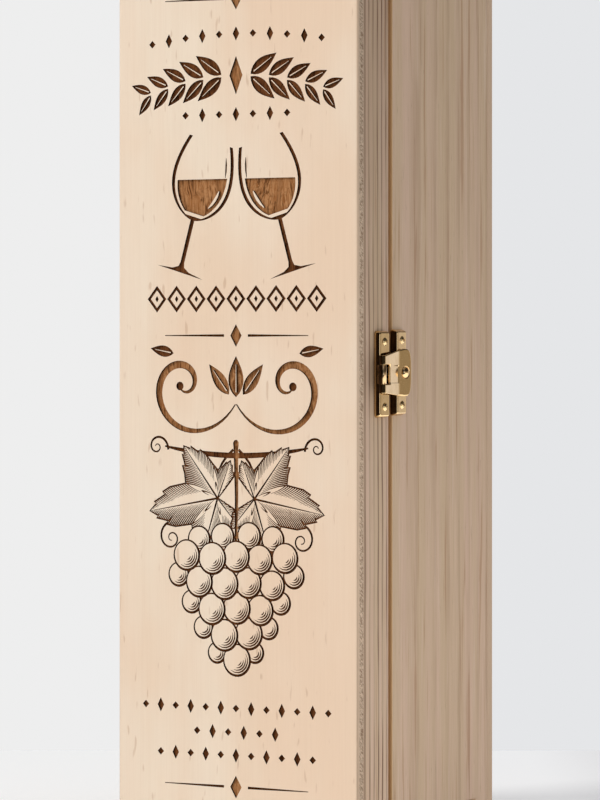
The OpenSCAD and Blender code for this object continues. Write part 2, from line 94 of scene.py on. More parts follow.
def piece_of(name, bm):
    mesh = bpy.data.meshes.new(name)
    bm.to_mesh(mesh)
    bm.free()
    return placed(name, mesh)


def fit(thing, body, finish, slot, *stands_for):
    """Gives a piece its finish, its body and the solids that it stands for."""
    for f in finish if isinstance(finish, (list, tuple)) else [finish]:
        thing.data.materials.append(f)
    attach(thing, body)
    if stands_for:
        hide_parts(*stands_for)
    return thing


def feed(tree, socket, value):
    if isinstance(value, bpy.types.NodeSocket):
        tree.links.new(value, socket)
    else:
        socket.default_value = value


def shader(tree, kind, feeds=None, **settings):
    """One shader node with its options set and its inputs fed."""
    n = tree.nodes.new("ShaderNode" + kind)
    for k, v in settings.items():
        setattr(n, k, v)
    for k, v in (feeds or {}).items():
        feed(tree, n.inputs[k], v)
    return n


def maths(tree, operation, *values):
    return shader(tree, "Math", dict(enumerate(values)), operation=operation).outputs[0]


def times(tree, a, b):
    return maths(tree, "MULTIPLY", a, b)


def vectors(tree, operation, *values):
    n = shader(tree, "VectorMath", dict(enumerate(values)), operation=operation)
    return n.outputs["Value" if operation in ("LENGTH", "DOT_PRODUCT") else "Vector"]


def stretched(tree, where, by):
    """Coordinates multiplied by a factor for each axis."""
    return vectors(tree, "MULTIPLY", where, by)


def parts(tree, vector):
    """The three numbers of a vector."""
    return shader(tree, "SeparateXYZ", {0: vector}).outputs


def ramped(tree, value, low, high, to_low=0.0, to_high=1.0):
    """A smooth step from to_low to to_high while value goes from low to high."""
    feeds = {"Value": value, "From Min": low, "From Max": high, "To Min": to_low, "To Max": to_high}
    return shader(tree, "MapRange", feeds, interpolation_type="SMOOTHSTEP").outputs["Result"]


def blended(tree, share, a, b):
    """Two colours mixed by a share from 0 to 1."""
    return shader(tree, "Mix", {0: share, 6: a, 7: b}, data_type="RGBA").outputs[2]


def layered(tree, tone, *layers):
    """A colour with others laid over it in turn, each a share from 0 to 1 and a colour."""
    for share, colour in layers:
        tone = blended(tree, share, tone, colour)
    return tone


def noise(tree, where, scale, detail, roughness=0.5, distortion=0.0):
    feeds = {"Vector": where, "Scale": scale, "Detail": detail, "Roughness": roughness,
             "Distortion": distortion}
    return shader(tree, "TexNoise", feeds).outputs


def long_noise(tree, where, squeeze, *kind):
    """Noise drawn out along the fibres, which run along Z."""
    return noise(tree, stretched(tree, where, (1, 1, squeeze)), *kind)


def drift(tree, where, squeeze, scale, reach):
    """How far soft noise moves a place to any side, with its reach on each axis."""
    cloud = long_noise(tree, where, squeeze, scale, 2)["Color"]
    return stretched(tree, vectors(tree, "SUBTRACT", cloud, (0.5, 0.5, 0.5)), reach)


def srgb(r, g, b):
    """A colour read off a swatch in 0 to 255, as the linear colour that shaders use."""
    return tuple(
        (c / 255 / 12.92 if c <= 10 else ((c / 255 + 0.055) / 1.055) ** 2.4) for c in (r, g, b)
    ) + (1.0,)


def group_of(name, takes, gives):
    """An empty shader group with its inputs and outputs, and the two nodes they come out of."""
    tree = bpy.data.node_groups.new(name, "ShaderNodeTree")
    for label, value in takes.items():
        kind = "NodeSocketVector" if isinstance(value, tuple) else "NodeSocketFloat"
        tree.interface.new_socket(label, in_out="INPUT", socket_type=kind).default_value = value
    for label in gives:
        tree.interface.new_socket(label, in_out="OUTPUT", socket_type="NodeSocketFloat")
    return tree, tree.nodes.new("NodeGroupInput").outputs, tree.nodes.new("NodeGroupOutput").inputs


# Grain of sawn wood whose fibres run along Z: growth rings round a pith, fibres,
# broad streaks and short dark pores. Distances are in metres.
wood_grain, given, out = group_of(
    "wood grain",
    {"Vector": (0, 0, 0), "Ring Gap": 0.002, "Pith": (0, 0, 0), "Sway": 0.002, "Streak Width": 0.012},
    ("Streak", "Ring", "Fibre", "Pore", "Height"),
)
t, here = wood_grain, given["Vector"]
swing = drift(t, here, 0.07, 28, (2, 2, 0))
swing = shader(t, "VectorMath", {0: swing, "Scale": given["Sway"]}, operation="SCALE").outputs[0]
swayed = vectors(t, "ADD", here, swing)
swayed = vectors(t, "ADD", swayed, drift(t, here, 0.30, 65, (0.0016, 0.0016, 0)))
from_pith = stretched(t, vectors(t, "SUBTRACT", swayed, given["Pith"]), (1, 1, 0))
years = maths(t, "DIVIDE", vectors(t, "LENGTH", from_pith), given["Ring Gap"])
part_year, year = maths(t, "FRACT", years), maths(t, "FLOOR", years)
late = times(t, ramped(t, part_year, 0.48, 0.82), ramped(t, part_year, 0.86, 0.98, 1, 0))
year_noise = shader(t, "TexWhiteNoise", {"W": year}, noise_dimensions="1D").outputs["Value"]
patchy = ramped(t, long_noise(t, here, 0.12, 150, 2)["Fac"], 0.35, 0.65, 0.3, 1)
ring = times(t, times(t, late, patchy), maths(t, "MULTIPLY_ADD", year_noise, 0.6, 0.4))
fibre = long_noise(t, here, 0.014, 2200, 4, 0.65)["Fac"]
streak_size = maths(t, "DIVIDE", 1.0, given["Streak Width"])
streak = ramped(t, long_noise(t, swayed, 0.02, streak_size, 3, 0.6)["Fac"], 0.3, 0.7)
pore = ramped(t, long_noise(t, here, 0.10, 1500, 2)["Fac"], 0.66, 0.78)
height = maths(t, "SUBTRACT", times(t, fibre, 0.6), times(t, pore, 0.5))
height = maths(t, "MULTIPLY_ADD", ring, 0.35, height)
for socket, value in zip(out, (streak, ring, fibre, pore, height)):
    t.links.new(value, socket)


def grain_at(tree, where, ring_gap, pith, streak, sway=0.002):
    """What the wood grain gives at a place."""
    feeds = {"Vector": where, "Ring Gap": ring_gap, "Pith": pith, "Sway": sway, "Streak Width": streak}
    return shader(tree, "Group", feeds, node_tree=wood_grain).outputs


def new_finish(name):
    """A new material, its tree and its coordinates."""
    finish = bpy.data.materials.new(name)
    finish.use_nodes = True
    return finish, finish.node_tree, shader(finish.node_tree, "TexCoord").outputs


def surfaced(finish, looks, relief=None):
    """Feeds a material's surface. A relief is its height, its strength and its depth in metres."""
    tree = finish.node_tree
    if relief:
        bump = shader(tree, "Bump", dict(zip(("Height", "Strength", "Distance"), relief)))
        looks["Normal"] = bump.outputs[0]
    for label, value in looks.items():
        feed(tree, tree.nodes["Principled BSDF"].inputs[label], value)
    return finish


ALONG_Z, ALONG_X = (0, 0, 0), (0, radians(90), 0)
BROAD, FINE = 0.012, 0.006
YELLOW_RING, BROWN_RING = srgb(158, 124, 97), srgb(112, 78, 56)


def pine(name, lie, shift, pith, ring_gap, ring_share, streak=BROAD, ring_tone=YELLOW_RING, tan=0.0):
    """Bare sanded pine. lie turns the grain along the board, shift moves to another part of the log."""
    finish, t, spot = new_finish(name)
    laid = shader(t, "Mapping", {"Vector": spot["Object"], "Rotation": lie, "Location": shift}).outputs[0]
    facing = shader(t, "Mapping", {"Vector": spot["Normal"], "Rotation": lie}, vector_type="NORMAL")
    g = grain_at(t, laid, ring_gap, pith, streak)
    ochre = long_noise(t, laid, 0.025, 480, 3, 0.65)["Fac"]
    tone = layered(
        t, blended(t, g["Streak"], srgb(206, 180, 150), srgb(215, 185, 163)),
        (ramped(t, ochre, 0.57, 0.68, 0.0, 0.7), srgb(176, 136, 104)),
        (ramped(t, ochre, 0.42, 0.30, 0.0, 0.5), srgb(222, 198, 178)),
        (times(t, g["Ring"], ring_share), ring_tone),
        (ramped(t, g["Fibre"], 0.35, 0.65, 0.16, 0.0), srgb(150, 122, 98)),
        (times(t, g["Pore"], 0.3), srgb(128, 98, 74)),
    )
    # Across the fibres the wood drinks more and shows darker, with its rings as arcs
    end_grain = ramped(t, maths(t, "ABSOLUTE", parts(t, facing.outputs[0])[2]), 0.6, 0.95)
    end_tone = blended(t, g["Ring"], srgb(186, 151, 117), srgb(122, 84, 54))
    x, y, z = parts(t, spot["Object"])
    # Darker towards the top of the box by the share tan: painted shade
    top_shade = ramped(t, z, 0.3 * BOX_H, BOX_H, 0.0, tan)
    # The walls of the shadow groove round the outside are painted a warmer brown, darker deeper in: painted
    # shade
    seam_shade = times(t, ramped(t, y, LID_RIM_Y - FEATHER, LID_RIM_Y),
                    ramped(t, y, CASE_RIM_Y + FEATHER, CASE_RIM_Y + 3 * FEATHER, 1, 0))
    depth = maths(t, "SUBTRACT", SIDE_X, maths(t, "ABSOLUTE", x))
    depth = maths(t, "MINIMUM", depth, maths(t, "MINIMUM", z, maths(t, "SUBTRACT", BOX_H, z)))
    seam_shade = times(t, seam_shade, ramped(t, depth, GROOVE_D, GROOVE_D + FEATHER, 1, 0))
    seam_shade_tone = blended(t, ramped(t, depth, 0, GROOVE_D / 2), srgb(214, 178, 132), srgb(194, 154, 110))
    # and a thin line of glue shows where the panel lies on the rails
    glued = ramped(t, y, RAIL_Y + 4 * FEATHER, RAIL_Y + 7 * FEATHER, 0.6, 0.0)
    tone = layered(t, tone, (end_grain, end_tone), (top_shade, srgb(118, 88, 64)), (seam_shade, seam_shade_tone),
                   (glued, srgb(120, 90, 66)))
    looks = {"Base Color": tone, "Roughness": ramped(t, g["Fibre"], 0.3, 0.7, 0.66, 0.5),
             "Specular IOR Level": 0.35}
    return surfaced(finish, looks, (g["Height"], 0.5, 0.00012))


BOARD_EASE = 0.0003
SIDE_X, BOX_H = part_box("right_side")[1].x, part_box("right_side")[1].z
RAIL_Y, LID_RIM_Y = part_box("lid_right_rail")[0].y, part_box("lid_right_rail")[1].y
SEAM, GROOVE_D, FEATHER = 0.0029, 0.003, 0.0001
CASE_RIM_Y = LID_RIM_Y + SEAM
case_boards = (
    ("left_side", ALONG_Z, (0.3, 0.1, 0.2), (0.280, 0.11, 0), 0.0031, 0.42),
    ("right_side", ALONG_Z, (0, 0, 0), (0.012, -0.020, 0), 0.0058, 0.5),
    ("top_end", ALONG_X, (0.5, 0, 0.1), (0.13, 0.02, 0), 0.0026, 0.5),
    ("bottom_end", ALONG_X, (0.8, 0, 0.4), (0.86, 0.05, 0), 0.0023, 0.5),
)
for node, *cut_from in case_boards:
    board = eased_copy("case_" + node, node, BOARD_EASE)
    fit(board, "case", pine("pine of the " + node.replace("_", " "), *cut_from), "pine", node)


# ---- The back: a plain sheet of birch plywood ------------------------------
# One 4 mm sheet, glued flat on the case. Its face is pale rotary-cut veneer and
# its sawn edge shows the darker, rougher plies.

def plywood(name, shift, sheet_from, sheet_to, torn):
    """Birch plywood that lies across Y. torn is how rough the saw left its middle ply."""
    finish, t, spot = new_finish(name)
    laid = shader(t, "Mapping", {"Vector": spot["Object"], "Location": shift}).outputs[0]
    g = grain_at(t, laid, 0.0105, (0.09, 0.16, 0), 0.02, 0.011)
    x, y = parts(t, spot["Object"])[:2]
    cloud = long_noise(t, laid, 0.45, 22, 3, 0.55)["Fac"]
    # Paler towards the left of the sheet: a painted light gradient, with soft random clouds over it
    pale = maths(t, "MULTIPLY_ADD", maths(t, "DIVIDE", x, SIDE_X), 0.09, cloud)
    # Short flecks and a few pin knots
    dashes = long_noise(t, laid, 0.22, 520, 1, 0.4)["Fac"]
    knots = shader(t, "TexVoronoi", {"Vector": laid, "Scale": 27.0, "Randomness": 1.0}).outputs
    knot = times(t, ramped(t, knots["Distance"], 0.012, 0.022, 1, 0),
                 ramped(t, shader(t, "SeparateColor", {0: knots["Color"]}).outputs[0], 0.72, 0.74))
    face = layered(
        t, blended(t, ramped(t, pale, 0.32, 0.68), srgb(238, 222, 202), srgb(234, 209, 184)),
        (times(t, g["Ring"], 0.12), srgb(214, 178, 146)),
        (times(t, g["Streak"], 0.22), srgb(236, 205, 180)),
        (ramped(t, g["Fibre"], 0.34, 0.62, 0.06, 0.0), srgb(196, 160, 128)),
        (ramped(t, dashes, 0.70, 0.80, 0.0, 0.32), srgb(176, 132, 96)),
        (times(t, knot, 0.75), srgb(120, 78, 50)),
    )
    # The sawn edge: three plies, the middle one across the others
    through = shader(t, "MapRange", {"Value": y, "From Min": sheet_from, "From Max": sheet_to}).outputs[0]
    core = times(t, ramped(t, through, 0.0, 0.2, 0.45, 1), ramped(t, through, 0.78, 0.84, 1, 0))
    slanted = shader(t, "Mapping", {"Vector": spot["Object"], "Rotation": (radians(35), 0, 0)}).outputs[0]
    chips = noise(t, stretched(t, slanted, (1, 0.45, 1.2)), 1350, 3, 0.75, 0.3)["Fac"]
    ragged = blended(t, ramped(t, chips, 0.34, 0.64), srgb(146, 118, 94), srgb(226, 202, 178))
    ragged = blended(t, ramped(t, through, 0.10, 0.5), srgb(222, 197, 172), ragged)
    ragged = blended(t, ramped(t, through, 0.02, 0.16), srgb(192, 165, 140), ragged)
    smooth = blended(t, g["Fibre"], srgb(196, 168, 142), srgb(210, 184, 160))
    glue = times(t, ramped(t, through, 0.93, 0.98), 0.7 * torn)
    edge = layered(t, smooth, (times(t, core, torn), ragged), (glue, srgb(112, 84, 62)))
    sawn = ramped(t, maths(t, "ABSOLUTE", parts(t, spot["Normal"])[1]), 0.78, 0.99, 1, 0)
    rough = times(t, times(t, chips, core), times(t, sawn, 5.0 * torn))
    rise = maths(t, "ADD", rough, times(t, g["Height"], 0.6))
    looks = {"Base Color": blended(t, sawn, face, edge), "Roughness": ramped(t, sawn, 0, 1, 0.58, 0.85),
             "Specular IOR Level": 0.3}
    return surfaced(finish, looks, (rise, 0.55, 0.00012))


back_low, back_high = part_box("back_panel")
back = eased_copy("case_back_panel", "back_panel", BOARD_EASE / 3)
fit(back, "case", plywood("birch plywood of the back", (0.7, 0.3, 0.9), back_high.y, back_low.y, 0.0),
    "birch_plywood", "back_panel")


# ---- The lid's frame: four pine rails ---------------------------------------
# Rails cut from quarter-sawn pine, so that the growth rings show as fine upright
# lines on the outside. They are finger-jointed like the case.

lid_rails = (
    ("lid_left_rail", ALONG_Z, (0.2, 0.45, 0.7), (0.14, 0.98, 0), 0.0028, 0.7, FINE, BROWN_RING, 0.2),
    ("lid_right_rail", ALONG_Z, (0, 0, 0.3), (0.03, 0.42, 0), 0.0033, 1.4, FINE, BROWN_RING, 0.3),
    ("lid_top_rail", ALONG_X, (0.1, 0.35, 0), (0.0, 0.9, 0), 0.0028, 0.9, FINE, BROWN_RING, 0.2),
    ("lid_bottom_rail", ALONG_X, (0.4, 0.25, 0), (0.1, 0.82, 0), 0.0028, 0.9, FINE, BROWN_RING, 0.0),
)
for node, *cut_from in lid_rails:
    rail = eased_copy(node + "_eased", node, BOARD_EASE)
    fit(rail, "lid", pine("pine of the " + node.replace("_", " "), *cut_from), "pine", node)


# ---- The lid's front: a sheet of birch plywood, laser-engraved -----------------
# One 5.5 mm sheet glued over the rails, its front edges rounded by sanding. The laser
# burns the ornament in, deep for the forms and shallow for their hatching.

# The ornament, in millimetres: each cut is its depth and its outline, the last one on top
UNCUT, LINE, DEEP = 0, 1, 2
cuts = []


def sides(outline):
    """Each point of a closed outline with the next one."""
    return zip(outline, outline[1:] + outline[:1])


def corners(outline):
    """Each point of a closed outline between the ones before and after it."""
    return zip(outline[-1:] + outline[:-1], outline, outline[1:] + outline[:1])


def circle(x, y, r, points):
    return [(x + r * cos(2 * pi * k / points), y + r * sin(2 * pi * k / points)) for k in range(points)]


def cut(depth, points):
    """Adds one outline, wound to the left as the mesher wants it."""
    area = sum(a[0] * b[1] - b[0] * a[1] for a, b in sides(points))
    cuts.append((depth, points if area > 0 else points[::-1]))


def turned(points, degrees, at, flip=1):
    """Points turned and moved to a place, and mirrored where flip is -1."""
    c, s = cos(radians(degrees)), sin(radians(degrees))
    return [(flip * (at[0] + (x * c - y * s)), at[1] + (x * s + y * c)) for x, y in points]


def ribbon(line, widths):
    """The outline of a stroke along a line, with its width at each point."""
    left, right = [], []
    for i, (x, y) in enumerate(line):
        (ax, ay), (bx, by) = line[max(i - 1, 0)], line[min(i + 1, len(line) - 1)]
        d = math.hypot(bx - ax, by - ay) or 1
        nx, ny, h = (ay - by) / d, (bx - ax) / d, widths[i] / 2
        left.append((x + nx * h, y + ny * h))
        right.append((x - nx * h, y - ny * h))
    return left + right[::-1]


def tapered(line, full, tail):
    """A stroke that is full at its start and thins to its end."""
    last = len(line) - 1
    return ribbon(line, [full + (tail - full) * i / last for i in range(last + 1)])


def bow(a, b, lift, steps):
    """Points along a shallow arc from a to b."""
    dx, dy = b[0] - a[0], b[1] - a[1]
    return [
        (a[0] + dx * t - dy * lift * 4 * t * (1 - t), a[1] + dy * t + dx * lift * 4 * t * (1 - t))
        for t in (i / steps for i in range(steps + 1))
    ]


def lozenge(x, z, w, h):
    return [(x - w / 2, z), (x, z - h / 2), (x + w / 2, z), (x, z + h / 2)]


def rule(z):
    cut(DEEP, lozenge(0, z, 5.2, 8.8))
    for side in (-1, 1):
        near, far = side * 5.5, side * 33
        cut(DEEP, [(near, z - 0.5), (far, z - 0.15), (far, z + 0.15), (near, z + 0.5)])


def beads(z, spaces, pitch, sink):
    half = spaces / 2
    for k in range(spaces + 1):
        i = k - half
        cut(DEEP, lozenge(pitch * i, z - sink * (i / half) ** 2, 3, 3 if k % 2 == 0 else 5.6))


def solid_leaf(length, width, degrees, at, flip=1):
    """A deep leaf, fullest below its middle, with its middle rib left standing."""
    right = [(width / 2 * sin(pi * (i / 10) ** 0.8), length * i / 10) for i in range(11)]
    cut(DEEP, turned(right + [(-x, y) for x, y in right[-2:0:-1]], degrees, at, flip))
    rib = tapered([(0, length * 0.12), (0, length * 0.5), (0, length * 0.8)], 0.42, 0.16)
    cut(UNCUT, turned(rib, degrees, at, flip))


def garland(z):
    swing = 130
    cut(DEEP, lozenge(0, z, 6, 15))
    for flip in (-1, 1):
        for i in range(1, 6):
            along = 3.7 * (i - 0.2)
            size = 1.06 - 0.08 * i
            x, y = swing * sin(radians(along)), z + swing * (cos(radians(along)) - 1)
            for half in (-1, 1):
                solid_leaf(14.5 * size, 5.6 * size, -along - (90 - half * 36), (x, y + half * 0.5), flip)


def wine_glass(z, side):
    lean, foot_x, stem, bowl_h, bowl_w = 16, 26, 21, 32, 28

    def half_bowl(t, wall):
        return max(0, bowl_w / 2 * sin(radians(132 * t ** 0.6)) - wall)

    def bowl(start, wall):
        shares = [start + (1 - start) * (i / 22) ** 1.8 for i in range(23)]
        right = [(half_bowl(t, wall), stem + bowl_h * t) for t in shares]
        return right + [(-x, y) for x, y in right[::-1]]

    def shine(depth, wall, shares, widths):
        line = [(-side * half_bowl(t, wall), stem + bowl_h * t) for t in shares]
        cut(depth, place(ribbon(line, widths)))

    def place(points):
        return turned(points, side * lean, (side * foot_x, z))

    foot = [(-11, 0), (11, 0), (4, 0.9), (1.4, 2.2), (0.9, 4), (0.9, stem + 1),
            (-0.9, stem + 1), (-0.9, 4), (-1.4, 2.2), (-4, 0.9)]
    cut(DEEP, place(foot))
    cut(DEEP, place(bowl(0, 0)))
    cut(UNCUT, place(bowl(0.05, 1.5)))
    # The wine's surface is level, so it is cut off square to the panel
    inside = place(bowl(0.09, 2.7))
    level = z + cos(radians(lean)) * (stem + 0.52 * bowl_h)
    wine = []
    for (ax, ay), (bx, by) in sides(inside):
        if ay <= level:
            wine.append((ax, ay))
        if (ay <= level) != (by <= level):
            t = (level - ay) / (by - ay)
            wine.append((ax + t * (bx - ax), level))
    cut(DEEP, wine)
    shine(UNCUT, 5.0, (0.2, 0.26, 0.32, 0.38, 0.44), (0.3, 0.9, 1.1, 0.9, 0.3))
    shine(LINE, 3.6, (0.62, 0.7, 0.78, 0.86), (0.2, 0.7, 0.7, 0.2))


def plait(z):
    for i in range(9):
        x = (i - 4) * 9.2
        cut(DEEP, lozenge(x, z, 8.8, 10.5))
        cut(UNCUT, lozenge(x, z, 5.8, 6.9))
        cut(DEEP, lozenge(x, z, 1.6, 2.6))


def scrolls(z):
    steps, sweep, start, eye_x, eye_z, r_out, r_in = 72, 500, 198, 24, z + 1, 25, 2.2
    for flip in (-1, 1):
        line = []
        for i in range(steps + 1):
            t = i / steps
            r, a = r_out * (r_in / r_out) ** t, radians(start + sweep * t)
            line.append((flip * (eye_x + r * cos(a)), eye_z + r * sin(a)))
        widths = [0.5 + 2.6 * max(0, sin(pi * (i / steps) ** 0.7)) ** 1.5 for i in range(steps + 1)]
        cut(DEEP, ribbon(line, widths))
        cut(DEEP, circle(*line[-1], 1.7, 20))
        solid_leaf(15, 5.6, -38, (3.2, z - 3), flip)
        solid_leaf(11, 4.4, -80, (29, z + 13), flip)
    solid_leaf(16, 7, 0, (0, z - 4))


def inset(outline, margin):
    """The same outline drawn in by a margin."""
    points = []
    for (ax, ay), (x, y), (bx, by) in corners(outline):
        d = math.hypot(bx - ax, by - ay)
        points.append((x + margin * (by - ay) / d, y - margin * (bx - ax) / d))
    return points


def crossing(p, d, outline):
    """How far a ray from p along d runs before it meets an outline."""
    best = None
    for (ax, ay), (bx, by) in sides(outline):
        ex, ey = bx - ax, by - ay
        den = d[0] * ey - d[1] * ex
        if abs(den) < 1e-9:
            continue
        t = ((ax - p[0]) * ey - (ay - p[1]) * ex) / den
        u = ((ax - p[0]) * d[1] - (ay - p[1]) * d[0]) / den
        if t > 1e-6 and 0 <= u <= 1 and (best is None or t < best):
            best = t
    return best


def vine_leaf(at, degrees, size, flip, shade_side):
    """A lobed leaf: outline, a vein to each lobe and hatching along the veins."""
    lobes = ((-122, 0.50), (-62, 0.80), (0, 1.0), (62, 0.80), (122, 0.50))
    bays = (0.42, 0.50, 0.50, 0.42)
    edge = [(0.0, -0.02), (-0.16, -0.22)]

    def spot(a, r):
        return (r * sin(radians(a)), r * cos(radians(a)))

    for k, (a, r) in enumerate(lobes):
        for da, f in ((-21, 0.70), (-15, 0.80), (-12.5, 0.77), (-6.5, 0.92), (-5, 0.895), (0, 1.0),
                      (5, 0.895), (6.5, 0.92), (12.5, 0.77), (15, 0.80), (21, 0.70)):
            edge.append(spot(a + da, r * f))
        if k < 4:
            edge.append(spot((a + lobes[k + 1][0]) / 2, bays[k]))
    edge.append((0.16, -0.22))
    outline = [(x * size, y * size) for x, y in edge]

    def place(points):
        return turned(points, degrees, at, flip)

    cut(DEEP, place(outline))
    cut(UNCUT, place(inset(outline, 0.7)))
    for k, (a, r) in enumerate(lobes):
        vx, vy = spot(a, 1)
        low = (a + lobes[k - 1][0]) / 2 if k else a - 34
        high = (a + lobes[k + 1][0]) / 2 if k < 4 else a + 34
        count = int(r * size / 1.15)
        for j in range(1, count):
            t = j / count * r * size * 0.97
            for side in (-1, 1):
                limit = high if side > 0 else low
                turn = a + side * 36
                d = spot(turn, 1)
                p = (vx * t, vy * t)
                reach = crossing(p, d, outline)
                if reach is None:
                    continue
                # Stop where the next lobe's hatching takes over
                for _ in range(12):
                    q = (p[0] + d[0] * reach, p[1] + d[1] * reach)
                    angle = math.degrees(math.atan2(q[0], q[1]))
                    if (angle - limit) * side <= 0.5:
                        break
                    reach *= 0.9
                if reach < 0.8:
                    continue
                dark = side == shade_side
                start = reach * (0.10 if dark else 0.42) + (0.25 if j % 2 else 0)
                end = reach * 0.97
                if end - start < 0.6:
                    continue
                outer, inner = ((p[0] + d[0] * r_at, p[1] + d[1] * r_at) for r_at in (end, start))
                hatch = bow(outer, inner, -0.05 * side, 3)
                cut(LINE, place(tapered(hatch, 0.62 if dark else 0.5, 0.14)))
        tip = (vx * r * size * 0.97, vy * r * size * 0.97)
        vein = [(0, 0), (tip[0] * 0.5, tip[1] * 0.5), tip]
        cut(DEEP, place(tapered(vein, 0.85 if r > 0.6 else 0.6, 0.2)))


def grape(x, z, r):
    """A round grape: a rim that is thicker at the lower right, and hatching inside it."""
    cut(DEEP, circle(x, z, r + 0.35, 30))
    cut(UNCUT, circle(x - 0.18, z + 0.2, r - 0.45, 30))
    for j in range(1, 6):
        rr = r - 0.35 - 0.95 * j
        if rr < 1.2:
            break
        half, mid, n = radians(96 - 15 * j), radians(-46), 7
        angles = [mid - half + 2 * half * k / n for k in range(n + 1)]
        line = [(x + rr * cos(a), z + rr * sin(a)) for a in angles]
        cut(LINE, ribbon(line, [0.12 + (0.62 - 0.05 * j) * sin(pi * k / n) for k in range(n + 1)]))


def tendril(at, degrees, size, flip, turns):
    """A thin shoot that ends in a curl."""
    line, steps = [], 40
    for t in (i / steps for i in range(steps + 1)):
        r, a = 0.14 ** t, radians(180 - 360 * turns * t)
        line.append(((1.0 + r * cos(a)) * size, r * sin(a) * size))
    points = ribbon(line, [1.0 - 0.65 * i / steps for i in range(steps + 1)])
    cut(DEEP, turned(points, degrees, at, flip))


def vine(z):
    pitch, drop, top = 11.4, 9.92, z + 6
    cane = bow((-33, z + 49), (33, z + 49), -0.05, 14)
    cut(DEEP, ribbon(cane, [0.6 + 1.6 * sin(pi * i / 14) ** 0.6 for i in range(15)]))
    for flip in (-1, 1):
        tendril((31.5, z + 47.6), 12, 5.4, flip, 1.5)
        tendril((26.5, z + 19.5), -62, 7.2, flip, 1.6)
        stalk = bow((1.2, z + 48), (8.5, z + 29), 0.16, 6)
        cut(DEEP, turned(tapered(stalk, 1.1, 0.8), 0, (0, 0), flip))
        vine_leaf((8.5, z + 29), -100, 32.5, flip, 1)
    stem = [(0, z + 51.8), (0, z + 50.8), (0, z + 47), (0.3, z + 30), (0, z + 11)]
    cut(DEEP, ribbon(stem, [1.0, 2.6, 2.0, 1.6, 1.2]))
    for x, dz, r in ((17, 7.2, 5), (6.1, 8.3, 5.2), (26.5, -6.8, 4.6), (20.5, -17.3, 4.4),
                     (15, -27.1, 4.3), (8.7, -36.8, 4)):
        for side in (-1, 1):
            grape(side * x, top + dz + 0.3 * side, r)
    for row in range(4, -1, -1):
        for i in range(4 - row, -1, -1):
            wob = sin(12.9 * row + 7.7 * i)
            grape((i - (4 - row) / 2) * pitch + 0.5 * wob,
                  top - row * drop + 0.5 * cos(5.1 * row + 3.3 * i), 5.9 + 0.25 * wob)


PANEL_H = 360
for share in (0.0547, 0.5414, 0.905):
    rule(PANEL_H * share)
beads(PANEL_H * 0.867, 10, 7.8, 3)
garland(PANEL_H * 0.822)
beads(PANEL_H * 0.78, 6, 7.8, 0)
for side in (-1, 1):
    wine_glass(PANEL_H * 0.61, side)
plait(PANEL_H * 0.581)
scrolls(PANEL_H * 0.486)
vine(PANEL_H * 0.285)
for share, spaces, pitch in ((0.1395, 12, 7), (0.1136, 5, 7.2), (0.0888, 10, 7)):
    beads(PANEL_H * share, spaces, pitch, 0)


SHALLOW, DEEPEST = 0.0004, 0.0009
FRONT_ROUND, BACK_ROUND = 0.001, 0.0002
FLOOR, WALL, NARROW_SHADED_FLOOR, NARROW = 1, 2, 3, 0.0019
SNAP = 1e-4


def skinned(bm, loops):
    """Smooth faces from each loop of points to the next, in order. A loop may be one point."""
    made = []
    for one, other in zip(loops, loops[1:]):
        for k in range(max(len(one), len(other))):
            near, far = ([loop[i % len(loop)] for i in (k, k + 1)] for loop in (one, other))
            made.append(bm.faces.new(list(dict.fromkeys(near + far[::-1]))))
            made[-1].smooth = True
    return made


